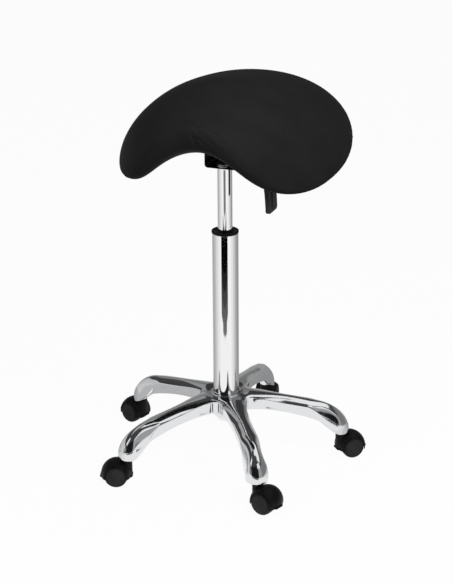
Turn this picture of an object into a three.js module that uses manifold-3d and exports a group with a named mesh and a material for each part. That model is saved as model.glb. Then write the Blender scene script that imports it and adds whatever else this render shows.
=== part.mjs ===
// Saddle stool: a saddle seat on a gas lift, a cast five-arm base and twin-wheel casters.
// Millimetres, +Z up. The column's axis is Z, the floor is z = 0 and the sitter faces -Y.

import * as THREE from 'three';
import { mergeVertices } from 'three/addons/utils/BufferGeometryUtils.js';
import Module from 'manifold-3d';

const wasm = await Module();
wasm.setup();

// Clearances
const gap = 0.3; // between pieces that touch or turn on each other
const overrun = 3; // how far a cut runs past the face that it opens

// Facets round a full turn
const columnSides = 24;
const wheelSides = 18;
const hoodSides = 18;
const pinSides = 10;

// Casters
const wheelRadius = 22.2;
const wheelHalfSpan = 23.6; // from the middle wall's centre to the outer face
const wheelTreadEnd = 15; // where the tread starts to round off
const axleRadius = 3;
const axleInset = 5; // from the wheel's outer face to the axle's end
const webThickness = 9; // the hood's middle wall, between the wheels
const hoodRadius = 29.5;
const hoodBallHalfWidth = 33.7; // half width of the ball that the hood is cut from
const hoodHalfWidth = 22;
const hoodWall = 2.2;
const hoodSkirt = 4.6; // how far the hood reaches below the axle
const hoodLip = 1.8; // how far the lower edge flares out
const hoodLipHeight = 2.6;
const hoodLipHalfWidth = 12;
const axleBossRadius = 7;
const casterTrail = 20.4; // from the swivel axis to the axle
const neckRadius = 10.4;
const neckRise = 31.9; // from the axle to the neck's top
const stemCollarRadius = 8;
const stemCollarHeight = 0.9;
const stemRadius = 5.5;
const stemLength = 21;
const stemGrooveDepth = 0.8;
const stemGrooveWidth = 2.4;
const stemGrooveBelowTop = 4;
const swivelRadius = 4.2; // the stem's lower end, inside the neck
const swivelLength = 10.5;

// Base
const armCount = 5;
const rearArmAngle = 90; // degrees from +X, so that one arm points to the rear
const stemCircleRadius = 225.3;
const noseOverhang = 15.5; // from the stem's axis to the nose's tip
const noseHalfWidth = 21.8;
const noseStartInside = 7; // how far inside the stem's axis the nose starts to round off
const noseHeightAtTip = 3;
const armWaistRadius = 120; // where the arm is narrowest
const armWaistHalfWidth = 16.5;
const armRootHalfWidth = 27.5; // at the column's axis
const armWallHeight = 24.5;
const armWall = 3.6;
const armShoulder = 7; // height of the rounded crest from the waist to the nose
const armRootShoulder = 4; // the same at the column's axis, where the arms are flatter
const armSlope = 36.5; // how far the crest falls from the hub to the nose's tip, less its curl
const armCurlStartInside = 37; // how far inside the stem's axis the crest starts to curl down
const armHemStartInside = 43; // the same for the lower edge of the side walls
const armSlopePower = 1.75;
const armCrestPower = 2.1;
const armRootPower = 1.5;
const armFootPower = 3.5;
const armWallGain = 5; // how much taller the side walls are out by the nose
const noseDomeStartInside = 65; // how far inside the stem's axis the crest starts to deepen into a dome
const noseDomeEndInside = 9;
const noseRimShare = 0.8; // most of the height that the rim may take at the nose's tip
const noseRim = 7; // upright rim below the nose's dome
const armHemPower = 1.5;
const armCrestBelowHub = 1.7;
const hubRise = 81.7; // from the nose's lower face to the hub's top
const hubRadius = 31.5;
const hubTopRadius = 29.3;
const hubTopBevel = 6;
const hubWallHeight = 26;
const hubBossRadius = 27;
const hubBossLowRadius = 24.6;
const hubBossLength = 25;
const hubBossRound = 4;
const socketBossRadius = 10.6;
const webReach = 47; // how far out the fillets between the arms run
const webHollow = 35; // how near they come to the axis
const webDrop = 4.6; // below the hub's top
const webHeight = 20;
const webBevel = 3;
const ribCount = 10;
const ribThickness = 2.4;
const ribReach = 31;
const ribHeight = 20;

// Gas lift
const tubeRadius = 25;
const tubeWall = 1.6;
const tubeExposed = 326.3; // from the hub to the tube's top
const tubeTaperTop = 24.3; // radius where the taper enters the hub
const tubeTaperLow = 21.5; // radius where it leaves the hub
const tubeEndLength = 12; // how far the tube stands out below the hub
const tubeEndRadius = 17.5;
const tubeFloor = 3;
const collarHeight = 4.2;
const collarRadius = 25.7;
const collarRound = 1.2;
const bushLength = 98;
const cylinderRadius = 14;
const cylinderWall = 1.5;
const cylinderExposed = 119.5; // from the collar to the seat bracket
const cylinderHidden = 186.5; // the length inside the tube
const cylinderLip = 1.5;
const cylinderHead = 13; // thickness of the closed upper end
const coneLength = 12;
const coneTipRadius = 13.2;
const coneBelowBracket = 3; // where the cone starts below the bracket
const rodRadius = 5;
const rodShoulderRadius = 8;
const rodShoulderHeight = 3;
const rodTopNeckRadius = 3.5;
const rodLowNeckRadius = 3.6;
const rodEndLength = 5; // below the tube's floor
const pistonHeight = 14;
const pistonSink = 52; // from the tube's top to the piston's top
const rodGuideHeight = 20;
const bearingHeight = 6.7;
const bearingRadius = 14;
const bufferHeight = 10;
const bufferRadius = 12.5;
const clipHeight = 1.5;
const clipRadius = 8.5;
const valveHeight = 25;
const pinRadius = 3;
const pinAbove = 8;
const pinBelow = 15; // below the cylinder's head

// Seat bracket and lever
const strapThickness = 2.5;
const strapHalfWidth = 33; // across the stool
const strapFront = 18; // ahead of the column's axis
const strapRear = 78; // behind it
const strapDepth = 40.7;
const strapBend = 6;
const flangeLength = 26;
const socketRadius = 15.3;
const socketFlangeRadius = 17.2;
const socketFlangeHeight = 2.2;
const socketRise = 7.5; // above the bracket's lower face
const leverWidth = 14;
const leverThickness = 4;
const leverInnerReach = 6; // past the column's axis
const leverKnee = 66; // where the lever starts to turn down
const leverFall = 8; // how far it has come down by then
const leverTail = 18; // length inside the grip
const windowRoom = 2.6; // above and below the lever in the bracket's wall
const gripWidth = 45;
const gripThickness = 5.6;
const gripRootReach = 70; // from the column's axis
const gripTipReach = 92;
const gripShoulderReach = 87;
const gripShoulderDrop = 17;
const gripDrop = 84; // from the grip's root to its tip
const gripCorner = 6;
const gripRibWidth = 12;
const gripRibRise = 1.8;

// Seat fixings
const boltRadius = 3;
const boltHeadRadius = 5.4;
const boltHeadHeight = 3.6;
const boltLength = 12;
const boltAcross = 46;
const boltEdge = 8; // from the strap's ends to the bolts
const insertWall = 1.8;
const insertLength = 9;

// Seat
const seatHalfWidth = 241.5; // measured round the arch
const seatFrontLength = 157.5;
const seatRearLength = 228.5;
const seatSetBack = -1.7;
const seatFrontBend = 94.5; // radius of the arch at the front end
const seatRearBend = 414;
const seatFrontLift = 12.8;
const seatRearLift = 24.8;
const seatCrown = 57.2; // from the middle surface to the top
const seatBelly = 61.5; // from the middle surface to the underside
const seatFrontPower = 2.77; // squareness of the outline
const seatRearPower = 2.57;
const seatCrownPower = 1.58;
const seatBellyPower = 2.7;
const seatWideningShare = 0.057; // wider to the rear, narrower to the front
const seatCrownShare = -0.09; // lower crown to the rear
const coverThickness = 2;
const panThickness = 10;
const panPadDepth = 9.7; // how far the flat pad stands below the pan
const panPadMargin = 6; // past the strap's ends
const seatSides = 36;
const archSteps = 8; // facets over an arm's crest
const hollowSteps = 4; // the same inside the arm
const crownShares = [0.2, 0.4, 0.58, 0.74, 0.86, 0.94, 0.985, 1];
const hemShare = 0.7;
const panEdgeShare = 0.84;
const bellyOuterShares = [0.92, 0.975, 1];
const bellyInnerShares = [0.25, 0.5];

// Where each caster trails, in degrees from +X, in the order of the arms
const trailAngles = [98, 160, 200, -18, 42];
const casterNames = ['rear', 'left', 'front_left', 'front_right', 'right'];

// Heights that follow from the sizes above
const axleHeight = wheelRadius;
const neckTop = axleHeight + neckRise;
const noseBottom = neckTop + gap + stemCollarHeight + gap;
const hubTop = noseBottom + hubRise;
const hubBossBottom = hubTop - hubWallHeight - hubBossLength;
const tubeTop = hubTop + tubeExposed;
const tubeBottom = hubBossBottom - tubeEndLength + hubBossRound;
const tubeFloorTop = tubeBottom + tubeFloor;
const collarBottom = tubeTop + gap;
const collarTop = collarBottom + collarHeight;
const bracketBottom = collarTop + cylinderExposed;
const bracketFloor = bracketBottom + strapThickness;
const coneStart = bracketBottom - coneBelowBracket;
const cylinderTop = coneStart + coneLength;
const cylinderBottom = collarTop - cylinderHidden;
const headBottom = cylinderTop - cylinderHead;
const bracketTop = bracketBottom + strapDepth;
const padBottom = bracketTop + gap;
const liningInset = coverThickness + gap;
const seatMiddle = padBottom + panPadDepth + seatBelly - liningInset;
const armReach = stemCircleRadius + noseOverhang;
const leverBottom = cylinderTop + pinAbove + gap;

// Finishes
const finish = (name, color, roughness, metalness) =>
  new THREE.MeshStandardMaterial({ name, color, roughness, metalness });
const polishedAluminium = finish('polished aluminium', 0xd4d5d7, 0.16, 1);
const chrome = finish('chrome plated steel', 0xe4e5e7, 0.07, 1);
const steel = finish('zinc plated steel', 0xa9acaf, 0.35, 1);
const blackNylon = finish('black nylon', 0x1d1d1e, 0.55, 0);
const blackSteel = finish('black painted steel', 0x161617, 0.42, 0.2);
const rubber = finish('rubber', 0x131313, 0.8, 0);
const leather = finish('black leatherette', 0x222223, 0.5, 0);
const foam = finish('moulded foam', 0xc9bf9a, 0.95, 0);
const plywood = finish('black-stained plywood', 0x1b1a19, 0.7, 0);

// Welds a geometry's vertices, drops its empty triangles and turns its faces outwards.
function weld(geometry) {
  const bare = new THREE.BufferGeometry();
  bare.setAttribute('position', geometry.getAttribute('position').clone());
  if (geometry.index) bare.setIndex(geometry.index.clone());
  const merged = mergeVertices(bare);
  const corners = merged.index.array;
  const kept = [];
  for (let i = 0; i < corners.length; i += 3) {
    const [a, b, c] = corners.slice(i, i + 3);
    if (a !== b && b !== c && c !== a) kept.push(a, b, c);
  }
  if (signedVolume(merged, kept) < 0) kept.reverse();
  merged.setIndex(kept);
  return merged;
}

function signedVolume(geometry, index) {
  const place = geometry.getAttribute('position');
  const corner = (i) => new THREE.Vector3().fromBufferAttribute(place, index[i]);
  let sum = 0;
  for (let i = 0; i < index.length; i += 3) {
    sum += corner(i).dot(corner(i + 1).cross(corner(i + 2)));
  }
  return sum;
}

// Turns a closed geometry into a solid that can be joined and cut.
function solid(geometry) {
  const welded = weld(geometry);
  const vertProperties = Float32Array.from(welded.getAttribute('position').array);
  const triVerts = Uint32Array.from(welded.index.array);
  return new wasm.Manifold(new wasm.Mesh({ numProp: 3, vertProperties, triVerts }));
}

function geometryOf(body) {
  const mesh = body.getMesh();
  const geometry = new THREE.BufferGeometry();
  geometry.setAttribute('position', new THREE.BufferAttribute(mesh.vertProperties, mesh.numProp));
  geometry.setIndex(new THREE.BufferAttribute(mesh.triVerts, 1));
  return geometry;
}

function piece(name, shape, material) {
  const geometry = shape.isBufferGeometry ? weld(shape) : geometryOf(shape);
  const mesh = new THREE.Mesh(geometry, material);
  mesh.name = name;
  geometry.computeVertexNormals();
  return mesh;
}

const points = (pairs) => pairs.map(([x, y]) => new THREE.Vector2(x, y));

// A body of revolution about Z from [radius, height] pairs.
function turned(pairs, sides) {
  return new THREE.LatheGeometry(points(pairs), sides).rotateX(Math.PI / 2);
}

// A ring about Z with a rectangular section.
function ring(innerRadius, outerRadius, bottom, top, sides) {
  const section = [[innerRadius, bottom], [outerRadius, bottom], [outerRadius, top], [innerRadius, top]];
  return turned([...section, section[0]], sides);
}

function disc(radius, bottom, top, sides) {
  return turned([[0, bottom], [radius, bottom], [radius, top], [0, top]], sides);
}

// An outline in the XZ plane, extruded along Y and centred on it.
function extrudedAcross(outline, width, bevel = 0, curveSegments = 6) {
  const options = { depth: width - 2 * bevel, bevelEnabled: bevel > 0, curveSegments };
  Object.assign(options, { bevelSize: bevel, bevelThickness: bevel, bevelOffset: -bevel, bevelSegments: 2 });
  const geometry = new THREE.ExtrudeGeometry(outline, options);
  return geometry.translate(0, 0, bevel - width / 2).rotateX(Math.PI / 2);
}

function block(low, high) {
  const size = high.map((value, axis) => value - low[axis]);
  const middle = high.map((value, axis) => (value + low[axis]) / 2);
  return new THREE.BoxGeometry(...size).translate(...middle);
}

// Skins a row of closed sections that all have the same number of points.
function loft(sections) {
  const count = sections[0].length;
  const place = sections.flat().flatMap((point) => [point.x, point.y, point.z]);
  const index = [];
  for (let row = 0; row + 1 < sections.length; row++) {
    for (let i = 0; i < count; i++) {
      const a = row * count + i;
      const b = row * count + ((i + 1) % count);
      index.push(a, b, b + count, a, b + count, a + count);
    }
  }
  const last = (sections.length - 1) * count;
  for (let i = 1; i + 1 < count; i++) {
    index.push(0, i + 1, i, last, last + i, last + i + 1);
  }
  const geometry = new THREE.BufferGeometry();
  geometry.setAttribute('position', new THREE.Float32BufferAttribute(place, 3));
  geometry.setIndex(index);
  return geometry;
}

const mix = (from, to, share) => from + (to - from) * share;
const clampShare = (share) => Math.min(Math.max(share, 0), 1);

// Base: each arm is an inverted channel whose crest slopes out and curls down to the nose.

function armHalfWidth(reach, inset) {
  const outer = reach > armWaistRadius;
  const end = outer ? stemCircleRadius - noseStartInside : 0;
  const endHalfWidth = outer ? noseHalfWidth : armRootHalfWidth;
  const share = clampShare((reach - armWaistRadius) / (end - armWaistRadius));
  return mix(armWaistHalfWidth, endHalfWidth, share ** (outer ? armFootPower : armRootPower)) - inset;
}

function armCrest(reach, inset) {
  const start = stemCircleRadius - armCurlStartInside;
  const tip = armReach - inset;
  const line = hubTop - armCrestBelowHub - armSlope * (reach / armReach) ** armSlopePower;
  const curl = hubTop - armCrestBelowHub - armSlope - noseBottom - noseHeightAtTip;
  const share = clampShare((reach - start) / (tip - start));
  return line - inset - (curl - inset) * (1 - Math.sqrt(1 - share ** 2));
}

function armHem(reach) {
  const start = stemCircleRadius - armHemStartInside;
  const wallHeight = armWallHeight + armWallGain * clampShare(reach / start) ** 2;
  const line = armCrest(Math.min(reach, start), 0) - wallHeight;
  const share = clampShare((reach - start) / (stemCircleRadius - start));
  return mix(noseBottom, line, (1 - share) ** armHemPower);
}

// One upright slice across the arm: two corners below, and a rounded crest over them.
function armSlice(reach, halfWidth, hem, crest, steps) {
  const drop = mix(armRootShoulder, armShoulder, clampShare(reach / armWaistRadius));
  const domeLength = noseDomeStartInside - noseDomeEndInside;
  const domeShare = clampShare((reach - stemCircleRadius + noseDomeStartInside) / domeLength);
  const sunk = mix(crest - drop, noseBottom + noseRim, domeShare ** 2 * (3 - 2 * domeShare));
  const shoulder = Math.min(sunk, mix(hem, crest, noseRimShare));
  const slice = [new THREE.Vector3(reach, halfWidth, hem)];
  for (let i = 0; i <= steps; i++) {
    const angle = (Math.PI * i) / steps;
    const across = Math.sign(Math.cos(angle)) * Math.abs(Math.cos(angle)) ** (2 / armCrestPower);
    const up = Math.sin(angle) ** (2 / armCrestPower);
    slice.push(new THREE.Vector3(reach, halfWidth * across, mix(shoulder, crest, up)));
  }
  slice.push(new THREE.Vector3(reach, -halfWidth, hem));
  return slice;
}

// The arm's envelope, drawn in by a wall's thickness for the hollow below.
function armBody(startReach, inset, below, stretchShares, steps) {
  const noseStart = stemCircleRadius - noseStartInside;
  const noseLength = armReach - inset - noseStart;
  const noseAngles = [25, 46, 64, 78];
  const slices = stretchShares.map((share) => {
    const reach = mix(startReach, noseStart, share);
    return armSlice(reach, armHalfWidth(reach, inset), armHem(reach) - below, armCrest(reach, inset), steps);
  });
  for (const degrees of noseAngles) {
    const angle = THREE.MathUtils.degToRad(degrees);
    const reach = noseStart + noseLength * Math.sin(angle);
    const halfWidth = armHalfWidth(noseStart, inset) * Math.cos(angle);
    slices.push(armSlice(reach, halfWidth, armHem(reach) - below, armCrest(reach, inset), steps));
  }
  return solid(loft(slices));
}

function baseArm() {
  const outer = armBody(hubTopRadius / 2, 0, 0, [0, 0.2, 0.4, 0.6, 0.74, 0.84, 0.93, 1], archSteps);
  const hollow = armBody(hubRadius + armWall, armWall, overrun, [0, 0.35, 0.7, 0.88, 1], hollowSteps);
  const boss = disc(socketBossRadius, noseBottom, hubTop, columnSides / 2);
  const seated = solid(boss.translate(stemCircleRadius, 0, 0)).intersect(outer);
  const boreTop = neckTop + gap + stemCollarHeight + stemLength + gap;
  const bore = disc(stemRadius + gap, noseBottom - overrun, boreTop, columnSides / 2);
  return outer.subtract(hollow).add(seated).subtract(solid(bore.translate(stemCircleRadius, 0, 0)));
}

// The curved webs that fill the corners between neighbouring arms.
function armWebs() {
  const step = (2 * Math.PI) / armCount;
  const halfAngle = Math.atan((armHalfWidth(webReach, 0) - webBevel) / webReach);
  const at = (radius, angle) => [radius * Math.cos(angle), radius * Math.sin(angle)];
  const outline = new THREE.Shape();
  for (let i = 0; i < armCount; i++) {
    const angle = i * step;
    if (i === 0) outline.moveTo(...at(webReach, angle + halfAngle));
    const next = angle + step;
    outline.quadraticCurveTo(...at(webHollow, angle + step / 2), ...at(webReach, next - halfAngle));
    outline.lineTo(...at(webReach, next + halfAngle));
  }
  const options = { depth: webHeight - 2 * webBevel, bevelSize: webBevel, bevelThickness: webBevel };
  Object.assign(options, { bevelSegments: 1, curveSegments: 5 });
  const bottom = hubTop - webDrop - webHeight + webBevel;
  return solid(new THREE.ExtrudeGeometry(outline, options).translate(0, 0, bottom));
}

// Bore radius for the column's taper at a height inside the hub.
const taperRadius = (height) =>
  mix(tubeTaperLow, tubeTaperTop, (height - hubBossBottom) / (hubTop - hubBossBottom));

function starBase() {
  const wallBottom = hubTop - hubWallHeight;
  const hub = turned([
    [0, hubBossBottom], [hubBossLowRadius - hubBossRound / 2, hubBossBottom],
    [hubBossLowRadius, hubBossBottom + hubBossRound], [hubBossRadius, wallBottom],
    [hubRadius, wallBottom + hubBossRound], [hubRadius, hubTop - hubTopBevel],
    [hubTopRadius, hubTop], [0, hubTop],
  ], columnSides);
  let body = solid(hub).add(armWebs());
  const arm = baseArm();
  for (let i = 0; i < armCount; i++) body = body.add(arm.rotate([0, 0, (360 / armCount) * i]));
  const ribLow = [0, -ribThickness / 2, wallBottom - ribHeight];
  const rib = solid(block(ribLow, [ribReach, ribThickness / 2, wallBottom + hubBossRound]));
  for (let i = 0; i < ribCount; i++) body = body.add(rib.rotate([0, 0, (360 / ribCount) * (i + 0.5)]));
  const reachDown = hubBossBottom - overrun;
  const reachUp = hubTop + overrun;
  const bore = turned([
    [0, reachDown], [taperRadius(reachDown) + gap, reachDown],
    [taperRadius(reachUp) + gap, reachUp], [0, reachUp],
  ], columnSides);
  const base = piece('star_base', body.subtract(solid(bore)), polishedAluminium);
  base.rotation.z = THREE.MathUtils.degToRad(rearArmAngle);
  return base;
}

// Casters: each is built with its swivel axis on Z and its wheels trailing along +X.

function casterStem() {
  const collarBottomAt = neckTop + gap;
  const collarTopAt = collarBottomAt + stemCollarHeight;
  const top = collarTopAt + stemLength;
  const grooveTop = top - stemGrooveBelowTop;
  const grooveBottom = grooveTop - stemGrooveWidth;
  const grooveRadius = stemRadius - stemGrooveDepth;
  return turned([
    [0, neckTop - swivelLength], [swivelRadius, neckTop - swivelLength], [swivelRadius, collarBottomAt],
    [stemCollarRadius, collarBottomAt], [stemCollarRadius, collarTopAt], [stemRadius, collarTopAt],
    [stemRadius, grooveBottom], [grooveRadius, grooveBottom], [grooveRadius, grooveTop],
    [stemRadius, grooveTop], [stemRadius - stemGrooveDepth, top], [0, top],
  ], pinSides);
}

// A body of revolution about the axle from [radius, distance across] pairs.
function roundAxle(pairs, sides) {
  return new THREE.LatheGeometry(points(pairs), sides).translate(casterTrail, 0, axleHeight);
}

const rodAcross = (radius, start, end, sides) =>
  solid(roundAxle([[0, start], [radius, start], [radius, end], [0, end]], sides));

// Outer radius of the hood's ball at a distance from its middle.
const ballRadius = (across) => hoodRadius * Math.sqrt(1 - (across / hoodBallHalfWidth) ** 2);

// The lower edge of the hood, seen from the side: it flares out at both ends.
function hoodLips() {
  const foot = hoodRadius + hoodLip;
  const outline = new THREE.Shape(points([
    [-foot, -hoodSkirt], [foot, -hoodSkirt], [foot, hoodLipHeight / 2 - hoodSkirt],
    [hoodRadius - hoodLip, 2 * hoodLipHeight - hoodSkirt], [hoodLip - hoodRadius, 2 * hoodLipHeight - hoodSkirt],
    [-foot, hoodLipHeight / 2 - hoodSkirt],
  ]));
  return extrudedAcross(outline, 2 * hoodLipHalfWidth).translate(casterTrail, 0, axleHeight);
}

// The hood is a ball, open below, with a middle wall and a room for each wheel.
function casterHood() {
  const shares = [1, 0.75, 0.4];
  const outside = shares.map((share) => [ballRadius(share * hoodHalfWidth), share * hoodHalfWidth]);
  const mirrored = outside.toReversed().map(([radius, across]) => [radius, -across]);
  const profile = [[0, hoodHalfWidth], ...outside, [hoodRadius, 0], ...mirrored, [0, -hoodHalfWidth]];
  const low = axleHeight - hoodSkirt;
  const wide = 2 * hoodRadius;
  const open = block([casterTrail - wide, -wide, low - wide], [casterTrail + wide, wide, low]);
  const room = (side) => {
    const inside = outside.map(([radius, across]) => [radius - hoodWall, side * across]);
    const web = side * webThickness / 2;
    const mouth = side * (hoodHalfWidth + overrun);
    const wall = [[inside[0][0], mouth], ...inside, [hoodRadius - hoodWall, web]];
    return solid(roundAxle([[0, mouth], ...wall, [0, web]], hoodSides));
  };
  const neck = disc(neckRadius, axleHeight, neckTop, columnSides / 2);
  const half = webThickness / 2;
  return solid(roundAxle(profile, hoodSides))
    .subtract(solid(open))
    .add(solid(hoodLips()))
    .add(solid(neck))
    .subtract(room(1))
    .subtract(room(-1))
    .add(rodAcross(axleBossRadius, -half, half, pinSides))
    .subtract(rodAcross(axleRadius + gap, -wide, wide, pinSides))
    .subtract(solid(disc(swivelRadius + gap, neckTop - swivelLength - gap, neckTop + overrun, pinSides)));
}

// One of the twin wheels: a tread that rounds off into a domed outer face, with a blind axle bore.
function casterWheel(side) {
  const inner = webThickness / 2 + gap;
  const boreEnd = wheelHalfSpan - axleInset + gap;
  const shoulder = wheelHalfSpan - wheelTreadEnd;
  const profile = [
    [0, boreEnd], [axleRadius + gap, boreEnd], [axleRadius + gap, inner],
    [wheelRadius, inner], [wheelRadius, wheelTreadEnd],
  ];
  for (const degrees of [40, 80]) {
    const angle = THREE.MathUtils.degToRad(degrees);
    const drop = shoulder * (1 - Math.cos(angle));
    profile.push([wheelRadius - drop, wheelTreadEnd + shoulder * Math.sin(angle) - gap]);
  }
  profile.push([0, wheelHalfSpan]);
  return roundAxle(profile.map(([radius, across]) => [radius, side * across]), wheelSides);
}

function caster(label, armAngle, trailAngle) {
  const axleHalf = wheelHalfSpan - axleInset;
  const axle = new THREE.CylinderGeometry(axleRadius, axleRadius, 2 * axleHalf, pinSides);
  const stem = piece(`caster_${label}_stem`, casterStem(), steel);
  const swivel = new THREE.Group();
  swivel.add(
    piece(`caster_${label}_hood`, casterHood(), blackNylon),
    piece(`caster_${label}_axle`, axle.translate(casterTrail, 0, axleHeight), steel),
    piece(`caster_${label}_wheel_a`, casterWheel(1), blackNylon),
    piece(`caster_${label}_wheel_b`, casterWheel(-1), blackNylon),
  );
  const group = new THREE.Group();
  const angle = THREE.MathUtils.degToRad(armAngle);
  group.position.set(stemCircleRadius * Math.cos(angle), stemCircleRadius * Math.sin(angle), 0);
  swivel.rotation.z = THREE.MathUtils.degToRad(trailAngle);
  group.add(stem, swivel);
  return group;
}

// Gas lift

function outerTube() {
  const inside = tubeRadius - tubeWall;
  const taperInside = tubeTaperLow - tubeWall;
  return turned([
    [rodRadius + gap, tubeBottom], [tubeEndRadius, tubeBottom],
    [taperRadius(hubBossBottom), hubBossBottom], [taperRadius(hubTop), hubTop],
    [tubeRadius, hubTop + tubeRadius - tubeTaperTop], [tubeRadius, tubeTop - tubeWall / 2],
    [tubeRadius - tubeWall / 2, tubeTop], [inside, tubeTop],
    [inside, hubTop], [taperInside, hubBossBottom], [tubeEndRadius - tubeWall, tubeFloorTop],
    [rodRadius + gap, tubeFloorTop], [rodRadius + gap, tubeBottom],
  ], columnSides);
}

function guideBush() {
  const inner = cylinderRadius + gap;
  const outer = tubeRadius - tubeWall - gap;
  return turned([
    [inner, tubeTop - bushLength], [outer, tubeTop - bushLength], [outer, collarBottom],
    [collarRadius, collarBottom], [collarRadius, collarTop - collarRound],
    [collarRadius - collarRound, collarTop], [inner, collarTop], [inner, tubeTop - bushLength],
  ], columnSides);
}

const coneRadius = (height) => mix(cylinderRadius, coneTipRadius, (height - coneStart) / coneLength);

function liftCylinder() {
  const inside = cylinderRadius - cylinderWall;
  return turned([
    [inside - cylinderLip, cylinderBottom], [cylinderRadius, cylinderBottom], [cylinderRadius, coneStart],
    [coneTipRadius, cylinderTop], [pinRadius + gap, cylinderTop], [pinRadius + gap, headBottom],
    [inside, headBottom], [inside, cylinderBottom + cylinderLip],
    [inside - cylinderLip, cylinderBottom + cylinderLip], [inside - cylinderLip, cylinderBottom],
  ], columnSides);
}

function pistonRod() {
  const pistonTop = tubeTop - pistonSink;
  const shoulderBottom = tubeFloorTop + gap + bearingHeight + gap + bufferHeight + gap;
  const clipTop = tubeBottom - gap;
  const clipBottom = clipTop - clipHeight;
  return turned([
    [0, tubeBottom - rodEndLength], [rodRadius - gap, tubeBottom - rodEndLength],
    [rodRadius - gap, clipBottom - gap], [rodLowNeckRadius, clipBottom - gap],
    [rodLowNeckRadius, clipTop + gap / 2], [rodRadius - gap, clipTop + gap / 2],
    [rodRadius - gap, shoulderBottom], [rodShoulderRadius, shoulderBottom],
    [rodShoulderRadius, shoulderBottom + rodShoulderHeight], [rodRadius, shoulderBottom + rodShoulderHeight],
    [rodRadius, pistonTop - pistonHeight - gap], [rodTopNeckRadius, pistonTop - pistonHeight - gap],
    [rodTopNeckRadius, pistonTop], [0, pistonTop],
  ], pinSides);
}

function gasLift() {
  const pistonTop = tubeTop - pistonSink;
  const bore = cylinderRadius - cylinderWall - gap;
  const guideBottom = cylinderBottom + cylinderLip + gap;
  const bearingBottom = tubeFloorTop + gap;
  const bufferBottom = bearingBottom + bearingHeight + gap;
  const clipTop = tubeBottom - gap;
  const pinBottom = headBottom - pinBelow;
  const sides = columnSides / 2 + columnSides / 8;
  const sleeve = (inner, outer, bottom, height) => ring(inner, outer, bottom, bottom + height, sides);
  return [
    piece('column_outer_tube', outerTube(), chrome),
    piece('column_guide_bush', guideBush(), blackNylon),
    piece('column_thrust_bearing', sleeve(rodRadius, bearingRadius, bearingBottom, bearingHeight), steel),
    piece('column_buffer', sleeve(rodRadius, bufferRadius, bufferBottom, bufferHeight), rubber),
    piece('lift_cylinder', liftCylinder(), chrome),
    piece('lift_rod_guide', sleeve(rodRadius + gap, bore, guideBottom, rodGuideHeight), blackNylon),
    piece('lift_piston_rod', pistonRod(), steel),
    piece('lift_piston', sleeve(rodTopNeckRadius + gap, bore, pistonTop - pistonHeight, pistonHeight), blackNylon),
    piece('lift_retaining_clip', sleeve(rodLowNeckRadius + gap, clipRadius, clipTop - clipHeight, clipHeight), steel),
    piece('lift_valve_body', sleeve(pinRadius + gap, bore, headBottom - gap - valveHeight, valveHeight), steel),
    piece('lift_release_pin', disc(pinRadius, pinBottom, cylinderTop + pinAbove, pinSides), steel),
  ];
}

// Seat bracket: a bent strap with a flat floor round the lift's cone and two flanges on the seat.

function strapOutline() {
  const outline = new THREE.Shape();
  const tip = strapHalfWidth + flangeLength;
  const t = strapThickness;
  const inner = strapBend - t;
  const bendCentre = strapHalfWidth - strapBend;
  const bendHeight = bracketBottom + strapBend;
  outline.moveTo(-tip, bracketTop);
  outline.lineTo(-tip, bracketTop - t);
  outline.lineTo(-strapHalfWidth, bracketTop - t);
  outline.lineTo(-strapHalfWidth, bendHeight);
  outline.absarc(-bendCentre, bendHeight, strapBend, Math.PI, 1.5 * Math.PI, false);
  outline.lineTo(bendCentre, bracketBottom);
  outline.absarc(bendCentre, bendHeight, strapBend, 1.5 * Math.PI, 2 * Math.PI, false);
  outline.lineTo(strapHalfWidth, bracketTop - t);
  outline.lineTo(tip, bracketTop - t);
  outline.lineTo(tip, bracketTop);
  outline.lineTo(strapHalfWidth - t, bracketTop);
  outline.lineTo(strapHalfWidth - t, bendHeight);
  outline.absarc(bendCentre, bendHeight, inner, 0, -0.5 * Math.PI, true);
  outline.lineTo(-bendCentre, bracketBottom + t);
  outline.absarc(-bendCentre, bendHeight, inner, -0.5 * Math.PI, -Math.PI, true);
  outline.lineTo(-strapHalfWidth + t, bracketTop);
  return outline;
}

const frontBolts = boltEdge - strapFront;
const rearBolts = strapRear - boltEdge;
const boltPlaces = [frontBolts, rearBolts].flatMap((along) => [[-boltAcross, along], [boltAcross, along]]);

function seatBracket() {
  const channel = extrudedAcross(strapOutline(), strapFront + strapRear, 0, 4);
  let strap = solid(channel.translate(0, (strapRear - strapFront) / 2, 0));
  const socketHole = disc(socketRadius + gap, bracketBottom - overrun, bracketFloor + overrun, columnSides);
  strap = strap.subtract(solid(socketHole));
  const halfWindow = leverWidth / 2 + windowRoom;
  const low = leverBottom - windowRoom;
  const high = leverBottom + leverThickness + windowRoom;
  const window = block([strapHalfWidth - strapBend, -halfWindow, low], [strapHalfWidth + overrun, halfWindow, high]);
  strap = strap.subtract(solid(window));
  for (const [x, y] of boltPlaces) {
    const hole = disc(boltRadius + gap, bracketTop - strapThickness - overrun, bracketTop + overrun, pinSides);
    strap = strap.subtract(solid(hole.translate(x, y, 0)));
  }
  return strap;
}

function taperSocket() {
  const bottom = bracketBottom;
  const top = bracketBottom + socketRise;
  const flangeBottom = bracketFloor + gap;
  return turned([
    [coneRadius(bottom) + gap, bottom], [socketRadius, bottom], [socketRadius, flangeBottom],
    [socketFlangeRadius, flangeBottom], [socketFlangeRadius, flangeBottom + socketFlangeHeight],
    [socketRadius, top], [coneRadius(top) + gap, top], [coneRadius(bottom) + gap, bottom],
  ], columnSides);
}

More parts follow.
